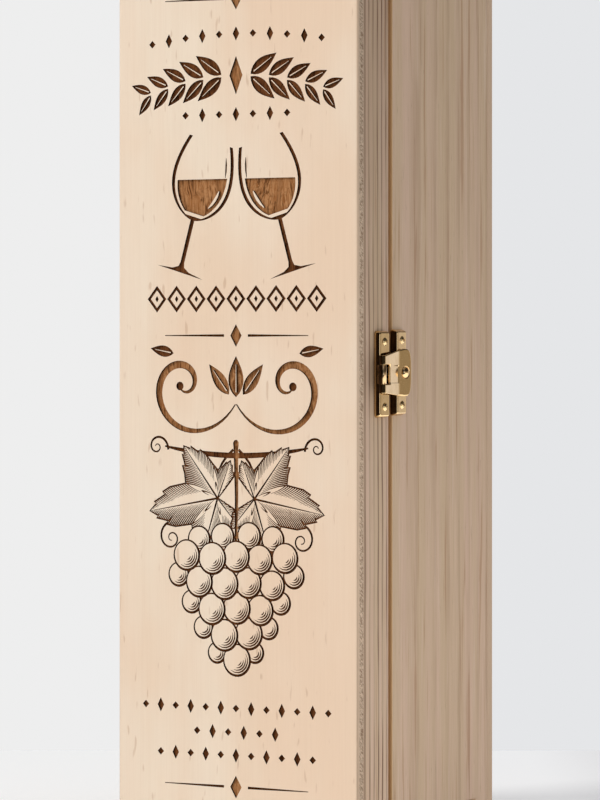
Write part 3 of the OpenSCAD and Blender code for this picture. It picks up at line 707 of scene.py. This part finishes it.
def engraved_sheet(name, low, high):
    """The panel as one closed mesh: its face, the cuts' floors and walls, and its rounded outside."""
    half, tall, rim = high.x * 1000, high.z * 1000, FRONT_ROUND * 1000
    wide, top = half - rim, tall - rim
    points = [Vector(c) for c in ((-wide, rim), (wide, rim), (wide, top), (-wide, top))]
    outlines = [[0, 1, 2, 3]]
    for _, outline in cuts:
        outlines.append(list(range(len(points), len(points) + len(outline))))
        points.extend(Vector(p) for p in outline)
    flat, _, faces, _, _, sources = geometry.delaunay_2d_cdt(points, [], outlines, 0, SNAP, True)
    bm, made, beside, floors = bmesh.new(), {}, {}, {}

    def spot(i, level):
        if (i, level) not in made:
            sink = (0.0, SHALLOW, DEEPEST)[level]
            made[i, level] = bm.verts.new((flat[i].x / 1000, low.y + sink, flat[i].y / 1000))
        return made[i, level]

    for f, source in zip(faces, sources):
        level = cuts[max(source) - 1][0] if max(source) else UNCUT
        a, b, c = (flat[i] for i in f[:3])
        f = list(f) if (b - a).cross(c - a) > 0 else list(f)[::-1]
        face = bm.faces.new([spot(i, level) for i in f])
        if level != UNCUT:
            face.material_index = FLOOR
            floors.setdefault(max(source), []).append(face)
        for i, j in sides(f):
            beside.setdefault(frozenset((i, j)), []).append((level, i, j))
    for levels in beside.values():
        upper, i, j = min(levels)
        lower = max(levels)[0]
        if lower > upper:
            ends = [[made[k, s] for s in range(upper, lower + 1) if (k, s) in made] for k in (i, j)]
            bm.faces.new(ends[0] + ends[1][::-1]).material_index = WALL
    # Where a cut is narrow its floor is darker: partly burnt darker by the laser, which turns often there,
    # and partly painted shade of the narrow recess
    for floor in floors.values():
        area = sum(f.calc_area() for f in floor)
        border = sum(e.calc_length() for f in floor for e in f.edges
                     if any(w.material_index == WALL for w in e.link_faces))
        for f in floor:
            f.material_index = NARROW_SHADED_FLOOR if 2 * area < NARROW * border else FLOOR

    profile = [(FRONT_ROUND * (1 - sin(a)), low.y + FRONT_ROUND * (1 - cos(a)))
               for a in (radians(15 * k) for k in range(7))]
    profile += [(BACK_ROUND * (1 - cos(a)), high.y - BACK_ROUND * (1 - sin(a)))
                for a in (radians(30 * k) for k in range(4))]
    loops = []
    for inset_by, y in profile:
        w, z0, z1 = high.x - inset_by, low.z + inset_by, high.z - inset_by
        loops.append([bm.verts.new((x, y, z)) for x, z in ((-w, z0), (w, z0), (w, z1), (-w, z1))])
    skinned(bm, loops[::-1])
    bm.faces.new(loops[-1][::-1])
    bmesh.ops.remove_doubles(bm, verts=bm.verts, dist=SAME_SPOT / 10)
    return piece_of(name, bm)


def burnt(name, pale, dark, deep):
    """Wood browned by the laser, the grain standing out darker."""
    finish, t, spot = new_finish(name)
    spot = spot["Object"]
    waved = vectors(t, "ADD", spot, drift(t, spot, 0.5, 90, (0.009, 0.009, 0)))
    g = grain_at(t, waved, 0.0042, (0.05, 0.04, 0), 0.004, 0.006)
    veins = long_noise(t, waved, 0.07, 1100, 3, 0.6)["Fac"]
    soot = noise(t, spot, 900, 2, 0.6)["Fac"]
    tone = layered(
        t, blended(t, ramped(t, g["Fibre"], 0.36, 0.62), dark, pale),
        (times(t, g["Ring"], 0.75), deep),
        (times(t, g["Streak"], 0.35), dark),
        (ramped(t, veins, 0.53, 0.64, 0, 0.75), deep),
        (ramped(t, soot, 0.5, 0.75, 0, 0.35), deep),
    )
    rise = maths(t, "ADD", g["Height"], times(t, soot, 1.2))
    looks = {"Base Color": tone, "Roughness": 0.85, "Specular IOR Level": 0.05}
    return surfaced(finish, looks, (rise, 0.7, 0.00015))


panel_low, panel_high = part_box("lid_panel")
panel = engraved_sheet("lid_panel_engraved", panel_low, panel_high)
fit(panel, "lid", (
    plywood("birch plywood of the lid", (0, 0, 0), panel_low.y, panel_high.y, 1.0),
    burnt("floor of the engraving", srgb(186, 136, 92), srgb(144, 92, 52), srgb(74, 40, 18)),
    burnt("wall of the engraving", srgb(62, 29, 11), srgb(42, 18, 6), srgb(26, 10, 3)),
    # The narrow cuts' floors are darker, partly burn and partly painted shade
    burnt("floor of the narrow cuts", srgb(128, 80, 46), srgb(94, 54, 29), srgb(52, 26, 11)),
), "birch_plywood", "lid_panel")


# ---- Two butt hinges on the left side ------------------------------------------
# Stamped brass leaves, rolled into five knuckles round a drawn pin. They lie on the
# outside of the left side, over the seam.

# Fine scratches all ways and the faint unevenness of pressed, handled brass.
brass_wear, given, out = group_of("brass wear", {"Vector": (0, 0, 0)}, ("Scratch", "Cloud", "Height"))
t = brass_wear
scratch = 0.0
for turn, scale in (((0.3, 0.2, 0.1), 1.0), ((1.1, 0.6, 0.9), 1.3), ((0.2, 1.4, 2.2), 0.8)):
    turned_to = shader(t, "Mapping", {"Vector": given["Vector"], "Rotation": turn}).outputs[0]
    drawn = stretched(t, turned_to, (scale, scale, 0.02))
    scratch = maths(t, "MAXIMUM", scratch, ramped(t, noise(t, drawn, 5200, 1)["Fac"], 0.62, 0.74))
cloud = ramped(t, noise(t, given["Vector"], 260, 3, 0.6)["Fac"], 0.3, 0.7)
waves = noise(t, given["Vector"], 420, 1, 0.4)["Fac"]
height = maths(t, "MULTIPLY_ADD", scratch, -0.12, waves)
for socket, value in zip(out, (scratch, cloud, height)):
    t.links.new(value, socket)


def brass(name, bright, dull, gloss):
    """Lacquered yellow brass, polished."""
    finish, t, spot = new_finish(name)
    wear = shader(t, "Group", {"Vector": spot["Object"]}, node_tree=brass_wear).outputs
    clouded = ramped(t, wear["Cloud"], 0, 1, gloss, gloss + 0.08)
    looks = {"Base Color": blended(t, wear["Cloud"], (*bright, 1), (*dull, 1)), "Metallic": 1.0,
             "Roughness": maths(t, "MULTIPLY_ADD", wear["Scratch"], 0.08, clouded)}
    return surfaced(finish, looks, (wear["Height"], 0.07, 0.0001))


LEAF_EASE, PIN_EASE = 0.00022, 0.0002
brass_sheet = brass("brass sheet", (0.80, 0.60, 0.32), (0.72, 0.52, 0.25), 0.20)
for hinge in ("upper_hinge", "lower_hinge"):
    for part, body, ease in (("case_leaf", "case", LEAF_EASE), ("lid_leaf", "lid", LEAF_EASE),
                             ("pin", "case", PIN_EASE)):
        node = hinge + "_" + part
        fit(eased_copy(node + "_rounded", node, ease), body, brass_sheet, "brass", node)


# ---- The screws ---------------------------------------------------------------------
# Small brass wood screws with domed heads and cross slots, turned to any angle.
# One screw is built, and set at every hole of the hinges and the latch.

def settled(thing):
    """A piece with its modifiers worked into its mesh."""
    bpy.context.view_layer.update()
    done = bpy.data.meshes.new_from_object(thing.evaluated_get(bpy.context.evaluated_depsgraph_get()))
    thing.modifiers.clear()
    thing.data = done
    return thing


def turned_screw(head_r, head_h, shank_r, length, finish):
    """One screw along +Z, its head's underside at the origin: a point, a thread of rings, a domed head
    and two slots across it."""
    cap_r = (head_r ** 2 + head_h ** 2) / (2 * head_h)
    spread = math.asin(head_r / cap_r)
    profile = [(0.0, -length), (shank_r * 0.15, -length), (shank_r * 0.8, shank_r * 2 - length)]
    thread, z = shank_r * 0.45, shank_r * 2 - length
    while z < -0.3 * length:
        profile += [(shank_r, z + thread * 0.5), (shank_r * 0.78, z + thread)]
        z += thread
    profile += [(shank_r * 0.95, z + thread), (shank_r, 0.0), (head_r * 0.97, 0.0), (head_r, head_h * 0.06)]
    for k in range(7):
        a = spread * (0.97 - 0.97 * k / 6)
        profile.append((cap_r * sin(a), head_h - cap_r * (1 - cos(a))))
    bm = bmesh.new()
    skinned(bm, [[bm.verts.new((x, y, z)) for x, y in circle(0, 0, r, 1 if r < SAME_SPOT / 10 else 36)]
                 for r, z in profile])
    screw = piece_of("screw", bm)
    cutter = bmesh.new()
    long, thin = 1.15 * head_r, 0.30 * head_r
    for wide, deep in ((thin, long), (long, thin)):
        for v in bmesh.ops.create_cube(cutter, size=1)["verts"]:
            taper = 1.0 if v.co.z > 0 else 0.55
            v.co = Vector((v.co.x * wide * taper, v.co.y * deep * taper, head_h * (0.95 + v.co.z)))
    slots = piece_of("screw_slots", cutter)
    sink = screw.modifiers.new("slots", "BOOLEAN")
    sink.object, sink.operation, sink.solver, sink.use_self = slots, "DIFFERENCE", "EXACT", True
    settled(screw)
    screw.data.materials.clear()
    screw.data.materials.append(finish)
    bpy.data.objects.remove(slots)
    return screw


def set_out(name, kind, places, seed, finish):
    """Copies of a piece at places, each a point and the way that it faces, turned at random."""
    tree = bpy.data.node_groups.new(name + " setting", "GeometryNodeTree")
    face, sockets = tree.interface, {}
    face.new_socket("Places", in_out="INPUT", socket_type="NodeSocketGeometry")
    for label, what in (("Piece", "Object"), ("Turn Seed", "Int"), ("Finish", "Material")):
        sockets[label] = face.new_socket(label, in_out="INPUT", socket_type="NodeSocket" + what)
    face.new_socket("Set Pieces", in_out="OUTPUT", socket_type="NodeSocketGeometry")
    given, out, one, facing, aim, turn, spin, both, setter, real, paint = map(tree.nodes.new, (
        "NodeGroupInput", "NodeGroupOutput", "GeometryNodeObjectInfo", "GeometryNodeInputNamedAttribute",
        "FunctionNodeAlignRotationToVector", "FunctionNodeRandomValue", "FunctionNodeAxisAngleToRotation",
        "FunctionNodeRotateRotation", "GeometryNodeInstanceOnPoints", "GeometryNodeRealizeInstances",
        "GeometryNodeSetMaterial",
    ))
    facing.data_type = "FLOAT_VECTOR"
    facing.inputs["Name"].default_value = "facing"
    aim.axis = "Z"
    turn.data_type = "FLOAT"
    turn.inputs[3].default_value = pi
    spin.inputs["Axis"].default_value = (0, 0, 1)
    both.rotation_space = "LOCAL"
    for source, out_of, into, taken_as in (
        (given, "Piece", one, "Object"), (facing, "Attribute", aim, "Vector"),
        (given, "Turn Seed", turn, "Seed"), (turn, 1, spin, "Angle"),
        (aim, 0, both, "Rotation"), (spin, 0, both, "Rotate By"),
        (given, "Places", setter, "Points"), (one, "Geometry", setter, "Instance"),
        (both, 0, setter, "Rotation"), (setter, 0, real, "Geometry"), (real, 0, paint, "Geometry"),
        (given, "Finish", paint, "Material"), (paint, 0, out, 0),
    ):
        tree.links.new(source.outputs[out_of], into.inputs[taken_as])

    mesh = bpy.data.meshes.new(name)
    mesh.from_pydata([p for p, _ in places], [], [])
    ways = [c for _, way in places for c in way]
    mesh.attributes.new("facing", "FLOAT_VECTOR", "POINT").data.foreach_set("vector", ways)
    holder = placed(name, mesh)
    setting = holder.modifiers.new("setting", "NODES")
    setting.node_group = tree
    for label, value in (("Piece", kind), ("Turn Seed", seed), ("Finish", finish)):
        setting[sockets[label].identifier] = value
    return settled(holder)


LEAF_T, PLATE_RISE = 0.001, 0.0025
HEAD_R, HEAD_H, SHANK_R, SCREW_L = 0.0016, 0.0009, 0.0009, 0.007
HINGE_Z, LEAF_HOLE, PLATE_HOLE = (0.07, 0.29), 0.0075, 0.0125
brass_screw = brass("brass of the screws", (0.80, 0.60, 0.32), (0.66, 0.47, 0.23), 0.22)
screw = turned_screw(HEAD_R, HEAD_H, SHANK_R, SCREW_L, brass_screw)


for body, of_plate, seed in (("case", "keeper_screws", 3), ("lid", "catch_screws", 8)):
    of_hinges = "hinge_" + body + "_screws"
    leaf, plate = (sum(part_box(node), Vector()) / 2 for node in (of_hinges, of_plate))
    # Two screws to each hinge's leaf, and two to the latch's plate on the other side
    places = [((-SIDE_X - LEAF_T, leaf.y, z + end * LEAF_HOLE), (-1, 0, 0))
              for z in HINGE_Z for end in (-1, 1)]
    places += [((SIDE_X + PLATE_RISE, plate.y, plate.z + end * PLATE_HOLE), (1, 0, 0)) for end in (-1, 1)]
    fit(set_out(body + "_screws", screw, places, seed, brass_screw), body, (), "brass", of_hinges, of_plate)
bpy.data.objects.remove(screw)


# ---- The latch on the right side ---------------------------------------------------
# Two brass plates pressed into shallow trays. The lid's one carries a hasp on a
# rolled knuckle, and the hasp's hole snaps over a domed stud in the case's one.

SHEET_T, CATCH_W = 0.0007, 0.0079
CORNER_R, RIM_R, STRAIGHT = 0.0014, 0.0008, 0.0002
SLOPE = radians(20)
FOOT, SHOULDER, RIM = 0, 1, 2
ROLLED, SHADE_DARK = 1, 2


def pressed_tray(bm, low, high, lean, foot_h, shade_darkened):
    """A tray open to the wood: an upright foot, a sloping shoulder, a rounded rim and a face.
    lean tilts the face across the box. The listed parts of its long walls get dark brass: painted shade and
    a painted dark reflection."""
    middle, middle_z = (low.y + high.y) / 2, (low.z + high.z) / 2
    tall = (high.z - low.z) / 2 - CORNER_R * 0.5

    def outline(inset, x):
        points = []
        for k, (y, z) in enumerate(((high.y, high.z), (low.y, high.z), (low.y, low.z), (high.y, low.z))):
            y += CORNER_R if y == low.y else -CORNER_R
            z += CORNER_R if z == low.z else -CORNER_R
            for step in range(-1, 8):
                # The first and last points lie on the straights, so that those shade as flats
                a = pi / 2 * (k + min(1, max(0, step / 6)))
                past = (min(0, step) + max(0, step - 6)) * STRAIGHT
                at = y + (CORNER_R - inset) * cos(a) - past * sin(a)
                up = z + (CORNER_R - inset) * sin(a) + past * cos(a)
                points.append(bm.verts.new((x + (lean * (at - middle) if x > low.x else 0), at, up)))
        return points

    turns = [SLOPE + (pi / 2 - SLOPE) * k / 7 for k in range(8)]
    shoulder_h = high.x - low.x - foot_h - RIM_R * (1 - sin(SLOPE))
    rim_in = shoulder_h * math.tan(SLOPE) + RIM_R * cos(SLOPE)

    def wall(sheet):
        """The outside of the tray, or with a sheet thickness its inside."""
        r = RIM_R - sheet
        foot = [(sheet, low.x), (sheet, low.x + foot_h)]
        return foot + [(rim_in - r * cos(a), high.x - RIM_R + r * sin(a)) for a in turns]

    inside, outside = wall(SHEET_T)[::-1], wall(0)
    loops = [outline(inset, x) for inset, x in inside + outside]
    for i, f in enumerate(skinned(bm, loops)):
        part = i // len(loops[0]) - len(inside)
        long_wall = abs(f.calc_center_median().z - middle_z) < tall
        if long_wall and part >= FOOT and min(RIM, part) in shade_darkened:
            f.material_index = SHADE_DARK
    bm.faces.new(loops[0][::-1])
    bm.faces.new(loops[-1])


def rolled_tongue(bm, foot_x, axis, radius, z0, z1):
    """A tongue of sheet that stands up from foot_x and is rolled forward round an axis."""
    bend_r = radius - TONGUE_T / 2
    path = [(foot_x, axis.y + bend_r, 90)]
    path += [(axis.x + bend_r * cos(radians(a)), axis.y + bend_r * sin(radians(a)), a)
             for a in range(90, -220, -10)]
    rings = []
    for x, y, a in path:
        out = Vector((cos(radians(a)), sin(radians(a)), 0)) * TONGUE_T / 2
        rings.append([bm.verts.new(Vector((x, y, 0)) + out * side + Vector((0, 0, z)))
                      for side, z in ((1, z0), (-1, z0), (-1, z1), (1, z1))])
    made = [bm.faces.new(rings[0]), bm.faces.new(rings[-1][::-1])]
    for one, other in zip(rings, rings[1:]):
        made += [bm.faces.new([one[k], other[k], other[(k + 1) % 4], one[(k + 1) % 4]]) for k in range(4)]
    # The side of the roll that is turned to the plate gets dark brass, painted shade
    polished = 2 + 4 * sum(a > -60 for x, y, a in path)
    for i, f in enumerate(made):
        f.material_index, f.smooth = ROLLED if i < polished else SHADE_DARK, True
    rims = {e for f in made for e in f.edges if e.calc_face_angle(0) > radians(50)}
    round_over(bm, list(rims), TONGUE_EASE, 2)


brass_pressed = brass("pressed brass of the latch", (0.84, 0.605, 0.315), (0.78, 0.545, 0.27), 0.06)
brass_rolled = brass("rolled brass of the knuckle", (0.80, 0.565, 0.31), (0.72, 0.475, 0.24), 0.25)
# A near-black brass for parts that stand in shade or mirror the dark: painted shade and painted dark
# reflection
shade_dark_brass = brass("tarnished brass", (0.10, 0.05, 0.02), (0.06, 0.03, 0.012), 0.4)

keeper_low, keeper_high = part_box("keeper_plate")
catch_low, catch_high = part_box("catch_plate")
pin_low, pin_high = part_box("hasp_pin")
pin_axis = (pin_low + pin_high) / 2
TONGUE_T, TONGUE_FOOT, TONGUE_EASE, KNUCKLE_HALF = 0.00065, 0.0012, 0.00012, 0.00365
tray_low = Vector((catch_low.x, catch_high.y - CATCH_W, catch_low.z))
tray_high = Vector((keeper_high.x, catch_high.y, catch_high.z))
# The keeper's foot and shoulder and the catch's shoulder get the dark brass: painted shade and dark
# reflection
for node, body, tray in (
    ("keeper_plate", "case", (keeper_low, keeper_high, -0.07, 0.0002, (FOOT, SHOULDER))),
    ("catch_plate", "lid", (tray_low, tray_high, 0.03, 0.0009, (SHOULDER,))),
):
    bm = bmesh.new()
    pressed_tray(bm, *tray)
    if node == "catch_plate":
        rolled_tongue(bm, keeper_high.x - TONGUE_FOOT, pin_axis, catch_high.x - pin_axis.x,
                      pin_axis.z - KNUCKLE_HALF, pin_axis.z + KNUCKLE_HALF)
    bmesh.ops.recalc_face_normals(bm, faces=bm.faces)
    fit(piece_of(node + "_pressed", bm), body, (brass_pressed, brass_rolled, shade_dark_brass), "brass", node)
for node, body, ease in (("hasp_pin", "lid", 0.0002), ("keeper_stud", "case", 0.00018)):
    fit(eased_copy(node + "_rounded", node, ease, 3), body, brass_pressed, "brass", node)

# The hasp is one stamping. Below, its sizes are in millimetres: x out of the wood, y from the
# lid to the case and z up the box.
hasp_low, hasp_high = (c * 1000 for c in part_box("hasp"))
AXIS_X, AXIS_Y, LATCH_Z = (c * 1000 for c in pin_axis)
STUD_Y, STUD_Z = (c * 1000 for c in ((keeper_low + keeper_high) / 2).yz)
FOLD, FOLD_R, BARREL_R, BORE_R = Vector((1.427, -0.464)), 0.25, 1.3, 0.85
HASP_T, NOTCH_H, GRID, RIM_GAP, BLUNTNESS, AROUND = 0.8, 3.75, 0.3, 0.5, 0.56, 60
ARM_H, BROAD_H = (pin_high.z - pin_low.z) * 500, (hasp_high.z - hasp_low.z) / 2
FOLD_Y, NOTCH_Y, BEND_Y, TIP_Y = AXIS_Y + FOLD.y, AXIS_Y + 4.5, STUD_Y - 4.25, hasp_high.y
BEND_X, FOLD_X, TIP_X = hasp_low.x + HASP_T, AXIS_X + FOLD.x + FOLD_R, hasp_low.x + HASP_T + 1.0
EDGE_R, HOLE_R, HOLE_EDGE_R, BACK_EDGE, END_R, SINK = 0.55, 2.35, 0.2, 0.1, 0.2, 0.25


def step_up(value, low, high):
    """A smooth step from 0 to 1 while value goes from low to high."""
    share = min(1, max(0, (value - low) / (high - low)))
    return share * share * (3 - 2 * share)


def hasp_face(y, z):
    """How far out of the wood the hasp's face is: down from the fold, and out again past a soft bend."""
    down, out_again, soft = (FOLD_X - BEND_X) / (BEND_Y - FOLD_Y), (TIP_X - BEND_X) / (TIP_Y - BEND_Y), 0.7
    past = y - BEND_Y
    if abs(past) < soft:
        x = BEND_X + (down + out_again) / (4 * soft) * (past + soft) ** 2 - down * past
    else:
        x = BEND_X + (out_again if past > 0 else -down) * past
    # Between the arms the press sinks the face a little
    sunk = step_up(abs(z - LATCH_Z), NOTCH_H - 0.1, NOTCH_H - 0.65) * step_up(y, BEND_Y + 0.2, BEND_Y - 0.5)
    return x - SINK * sunk


def spread_along(bends, gap):
    """A closed outline through its bends, with points no further apart than gap off the fold."""
    points = []
    for a, b in sides(bends):
        n = 1 if a.x == b.x == bends[0].x else math.ceil((b - a).length / gap)
        points += [a.lerp(b, k / n) for k in range(n)]
    return points


def moved_in(points, by):
    """An outline moved inward; the line of the fold stays where it is."""
    moved = []
    for before, p, after in corners(points):
        a, b = (p - before).normalized(), (after - p).normalized()
        q = p + by * Vector((-a.y - b.y, a.x + b.x)) / (1 + a.dot(b))
        moved.append(Vector((FOLD_Y, q.y)) if abs(p.x - FOLD_Y) < SNAP else q)
    return moved


def within(p, loop):
    """Whether a point lies inside a closed outline."""
    odd = False
    for a, b in sides(loop):
        if (a.y > p.y) != (b.y > p.y) and p.x < a.x + (b.x - a.x) * (p.y - a.y) / (b.y - a.y):
            odd = not odd
    return odd


def stamped_hasp():
    """The hasp: a blade with a notch and a hole, its edges rounded, and an arm each side of the notch."""

    def blunt(s):
        return math.copysign(abs(s) ** BLUNTNESS, s)

    end = [(STUD_Y - 0.6 + (TIP_Y - STUD_Y + 0.6) * blunt(cos(a)), STUD_Z + BROAD_H * blunt(sin(a)))
           for a in (radians(5 * k - 90) for k in range(37))]
    notch = [(FOLD_Y, NOTCH_H), (NOTCH_Y - 0.4, NOTCH_H), (NOTCH_Y - 0.1, NOTCH_H - 0.1),
             (NOTCH_Y, NOTCH_H - 0.4)]
    notch += [(y, -z) for y, z in notch[::-1]]
    bends = [(FOLD_Y, LATCH_Z - ARM_H), *end, (FOLD_Y, LATCH_Z + ARM_H)]
    bends += [(y, LATCH_Z + z) for y, z in notch]
    rim = spread_along([Vector(c) for c in bends], RIM_GAP)
    hole = [Vector(c) for c in circle(STUD_Y, STUD_Z, HOLE_R, 40)]
    quarter = [radians(18 * k) for k in range(6)]
    bm = bmesh.new()

    def ring(points, depth):
        return [bm.verts.new(((hasp_face(p.x, p.y) - depth) / 1000, p.x / 1000, p.y / 1000)) for p in points]

    def cap(outer, inner, inside, depth, finish):
        points = outer + inner + inside
        chains = [list(range(len(outer))), list(range(len(outer), len(outer) + len(inner)))]
        flat, _, faces, _, _, sources = geometry.delaunay_2d_cdt(points, [], chains, 0, SNAP, True)
        spots = ring(flat, depth)
        for f, source in zip(faces, sources):
            if len(source) == 1:
                made = bm.faces.new([spots[i] for i in f])
                made.smooth, made.material_index = True, finish

    grid = [Vector((y * GRID, z * GRID)) for y in range(int(FOLD_Y / GRID), int(TIP_Y / GRID) + 1)
            for z in range(int(hasp_low.z / GRID), int(hasp_high.z / GRID) + 2)]
    inner_rim, outer_hole = moved_in(rim, EDGE_R + 0.12), moved_in(hole, -HOLE_EDGE_R - 0.15)
    inside = [p for p in grid if within(p, inner_rim) and not within(p, outer_hole) and p.x > FOLD_Y + 0.1]
    cap(moved_in(rim, EDGE_R), moved_in(hole, -HOLE_EDGE_R), inside, 0, 0)
    back_rim, back_hole = moved_in(rim, BACK_EDGE), moved_in(hole, -BACK_EDGE)
    # The back of the blade gets the dark brass, painted shade where the notch shows it
    cap(back_rim, back_hole, [], HASP_T, 1)
    for edge, back, r, way_in in ((rim, back_rim, EDGE_R, 1), (hole, back_hole, HOLE_EDGE_R, -1)):
        rings = [ring(moved_in(edge, way_in * r * (1 - sin(a))), r * (1 - cos(a))) for a in quarter]
        skinned(bm, rings + [ring(edge, HASP_T - BACK_EDGE), ring(back, HASP_T)])

    # Each arm is rolled back under the pin: a bright fold in front, then a barrel in dark brass, a painted
    # dark reflection
    ways = [Vector(c) for c in circle(0, 0, 1, AROUND)]
    in_barrel = [FOLD.dot(way) + FOLD_R < BARREL_R for way in ways]

    def section(shrink, z):
        spots = []
        for way in ways:
            barrel, fold = way * (BARREL_R - shrink), FOLD + way * (FOLD_R - shrink)
            p = fold if fold.dot(way) > barrel.dot(way) else barrel
            spots.append(bm.verts.new(((AXIS_X + p.x) / 1000, (AXIS_Y + p.y) / 1000, z / 1000)))
        return spots

    def bore(z):
        mouth = circle(AXIS_X, AXIS_Y, BORE_R, AROUND)
        return [bm.verts.new((x / 1000, y / 1000, z / 1000)) for x, y in mouth]

    ends = [(END_R * (1 - sin(a)), END_R * (1 - cos(a))) for a in quarter[::2] + [pi / 2]] + [(0, 0.3)]
    for side in (-1, 1):
        z0, z1 = sorted((LATCH_Z + side * (NOTCH_H + 0.05), LATCH_Z + side * (ARM_H - 0.1)))
        loops = [bore(z0)] + [section(s, z0 + h) for s, h in ends]
        loops += [section(s, z1 - h) for s, h in ends[::-1]] + [bore(z1)]
        for i, f in enumerate(skinned(bm, loops + loops[:1])):
            f.material_index = int(in_barrel[i % AROUND] and in_barrel[(i + 1) % AROUND])
    bmesh.ops.remove_doubles(bm, verts=bm.verts, dist=SAME_SPOT / 10)
    bmesh.ops.recalc_face_normals(bm, faces=bm.faces)
    return piece_of("hasp_stamped", bm)


fit(stamped_hasp(), "hasp", (brass_pressed, shade_dark_brass), "brass", "hasp")


# ---- The studio ------------------------------------------------------------------------
# A pale floor that ends a little way behind the box, a large soft lamp high on the
# left in front, two small ones near the foot, and a pale surround.

VIEW_ANGLE, FLOOR_END = radians(31.87), 0.30
away = Vector((-sin(VIEW_ANGLE), cos(VIEW_ANGLE), 0))
across = Vector((cos(VIEW_ANGLE), sin(VIEW_ANGLE), 0))


def grey(level):
    return (level, level, level, 1)


def plain_floor():
    """A floor that takes shadows and is otherwise as pale as the surround."""
    finish, t, spot = new_finish("floor")
    spot = spot["Object"]
    cloud = ramped(t, noise(t, spot, 3, 1)["Fac"], 0.3, 0.7)
    tint = blended(t, cloud, (0.875, 0.885, 0.89, 1), (0.865, 0.875, 0.88, 1))
    # Seen by the camera it is lifted to the surround's tone
    ray = shader(t, "LightPath").outputs
    side = vectors(t, "DOT_PRODUCT", spot, tuple(across))
    lift = blended(t, ramped(t, side, -0.10, 0.10), (0.18, 0.19, 0.205, 1), (0.17, 0.18, 0.205, 1))
    lift = blended(t, ramped(t, side, 0.10, 0.15), lift, (0.09, 0.095, 0.12, 1))
    # In metal it is painted pale up to the box's front and near black further forward: a painted reflection
    near = ramped(t, parts(t, spot)[1], -0.30, -0.12)
    painted_reflection = blended(t, times(t, ray["Is Glossy Ray"], near), grey(0), grey(0.9))
    far = times(t, ray["Is Glossy Ray"], maths(t, "SUBTRACT", 1.0, near))
    return surfaced(finish, {
        "Base Color": blended(t, far, tint, grey(0.03)), "Roughness": 0.9, "Specular IOR Level": 0.1,
        "Emission Color": blended(t, ray["Is Camera Ray"], painted_reflection, lift), "Emission Strength": 1.0,
    })


bm = bmesh.new()
bm.faces.new([bm.verts.new(away * d + across * s)
              for d, s in ((-2.6, -2), (-2.6, 2), (FLOOR_END, 2), (FLOOR_END, -2))])
floor = piece_of("floor", bm)
floor.data.materials.append(plain_floor())


def soft_lamp(name, place, target, width, height, watts, colour):
    data = bpy.data.lights.new(name, "AREA")
    data.shape, data.size, data.size_y, data.energy, data.color = "RECTANGLE", width, height, watts, colour
    lamp = placed(name, data)
    lamp.location = place
    lamp.rotation_euler = (Vector(target) - Vector(place)).to_track_quat("-Z", "Y").to_euler()
    lamp.visible_glossy = False


for lamp in (
    ("key lamp", (-1.35, -1.9, 1.75), (0, 0, 0.18), 0.9, 0.9, 34.5, (1.0, 0.97, 0.935)),
    ("foot lamp of the side", (0.28, -0.03, 0.03), (0.055, -0.01, 0.03), 0.4, 0.10, 0.13, (1.0, 0.98, 0.98)),
    ("foot lamp of the front", (0.02, -0.50, 0.03), (0, 0, 0.03), 0.3, 0.08, 0.10, (1.0, 0.99, 1.0)),
):
    soft_lamp(*lamp)

world = bpy.data.worlds.new("surround")
world.use_nodes = True
bpy.context.scene.world = world
t = world.node_tree
t.nodes.clear()
way = shader(t, "TexCoord").outputs["Generated"]
side_on = vectors(t, "DOT_PRODUCT", way, tuple(across))
backdrop = blended(t, ramped(t, side_on, -0.06, 0.06), srgb(238, 238, 238), srgb(229, 230, 232))
# What brass mirrors: the room by compass angle in degrees, from the latch side toward the back
room = (
    (-180, 0.50), (-135, 0.10), (-110, 0.02), (-50, 0.03), (-40, 1.1), (-28, 1.2), (-15, 0.5), (0, 0.30),
    (30, 0.26), (46, 0.34), (56, 0.54), (66, 0.62), (78, 0.84), (90, 0.8), (108, 0.35), (150, 0.4),
    (180, 0.50),
)
way_x, way_y, way_z = parts(t, way)
compass = maths(t, "ARCTAN2", way_y, way_x)
full_turn = shader(t, "MapRange", {"Value": compass, "From Min": -pi, "From Max": pi}).outputs["Result"]
walls = shader(t, "ValToRGB", {"Fac": full_turn})
stops = walls.color_ramp.elements
while len(stops) < len(room):
    stops.new(0.5)
for stop, (angle, level) in zip(stops, room):
    # The brighter a part of the room is, the cooler is its light
    cool = min(1.0, max(0.0, (level - 0.3) / 0.6))
    stop.position = (angle + 180) / 360
    stop.color = (level, level * (0.86 + 0.16 * cool), level * (0.68 + 0.46 * cool), 1)
upper = times(t, ramped(t, way_z, 0.12, 0.34, 1.0, 0.10), ramped(t, way_z, 0.75, 0.95, 1.0, 8.0))
mirrored = stretched(t, walls.outputs["Color"], upper)
seen = shader(t, "LightPath").outputs
ambient, mirror, pale = (
    shader(t, "Background", {"Color": colour, "Strength": strength}).outputs[0]
    for colour, strength in (((1.0, 0.985, 0.965, 1), 0.58), (mirrored, 1.0), (backdrop, 1.0))
)
some = shader(t, "MixShader", {0: seen["Is Glossy Ray"], 1: ambient, 2: mirror}).outputs[0]
every = shader(t, "MixShader", {0: seen["Is Camera Ray"], 1: some, 2: pale}).outputs[0]
t.links.new(every, t.nodes.new("ShaderNodeOutputWorld").inputs["Surface"])

scene = bpy.context.scene
scene.view_settings.view_transform = "Standard"
camera = placed("camera", bpy.data.cameras.new("camera"))
camera.data.lens, camera.data.sensor_width, camera.data.shift_y = 190, 36, -0.08125
camera.location = (0.8860, -1.4305, 0.1951)
camera.rotation_euler = (radians(90), 0, VIEW_ANGLE)
scene.camera = camera
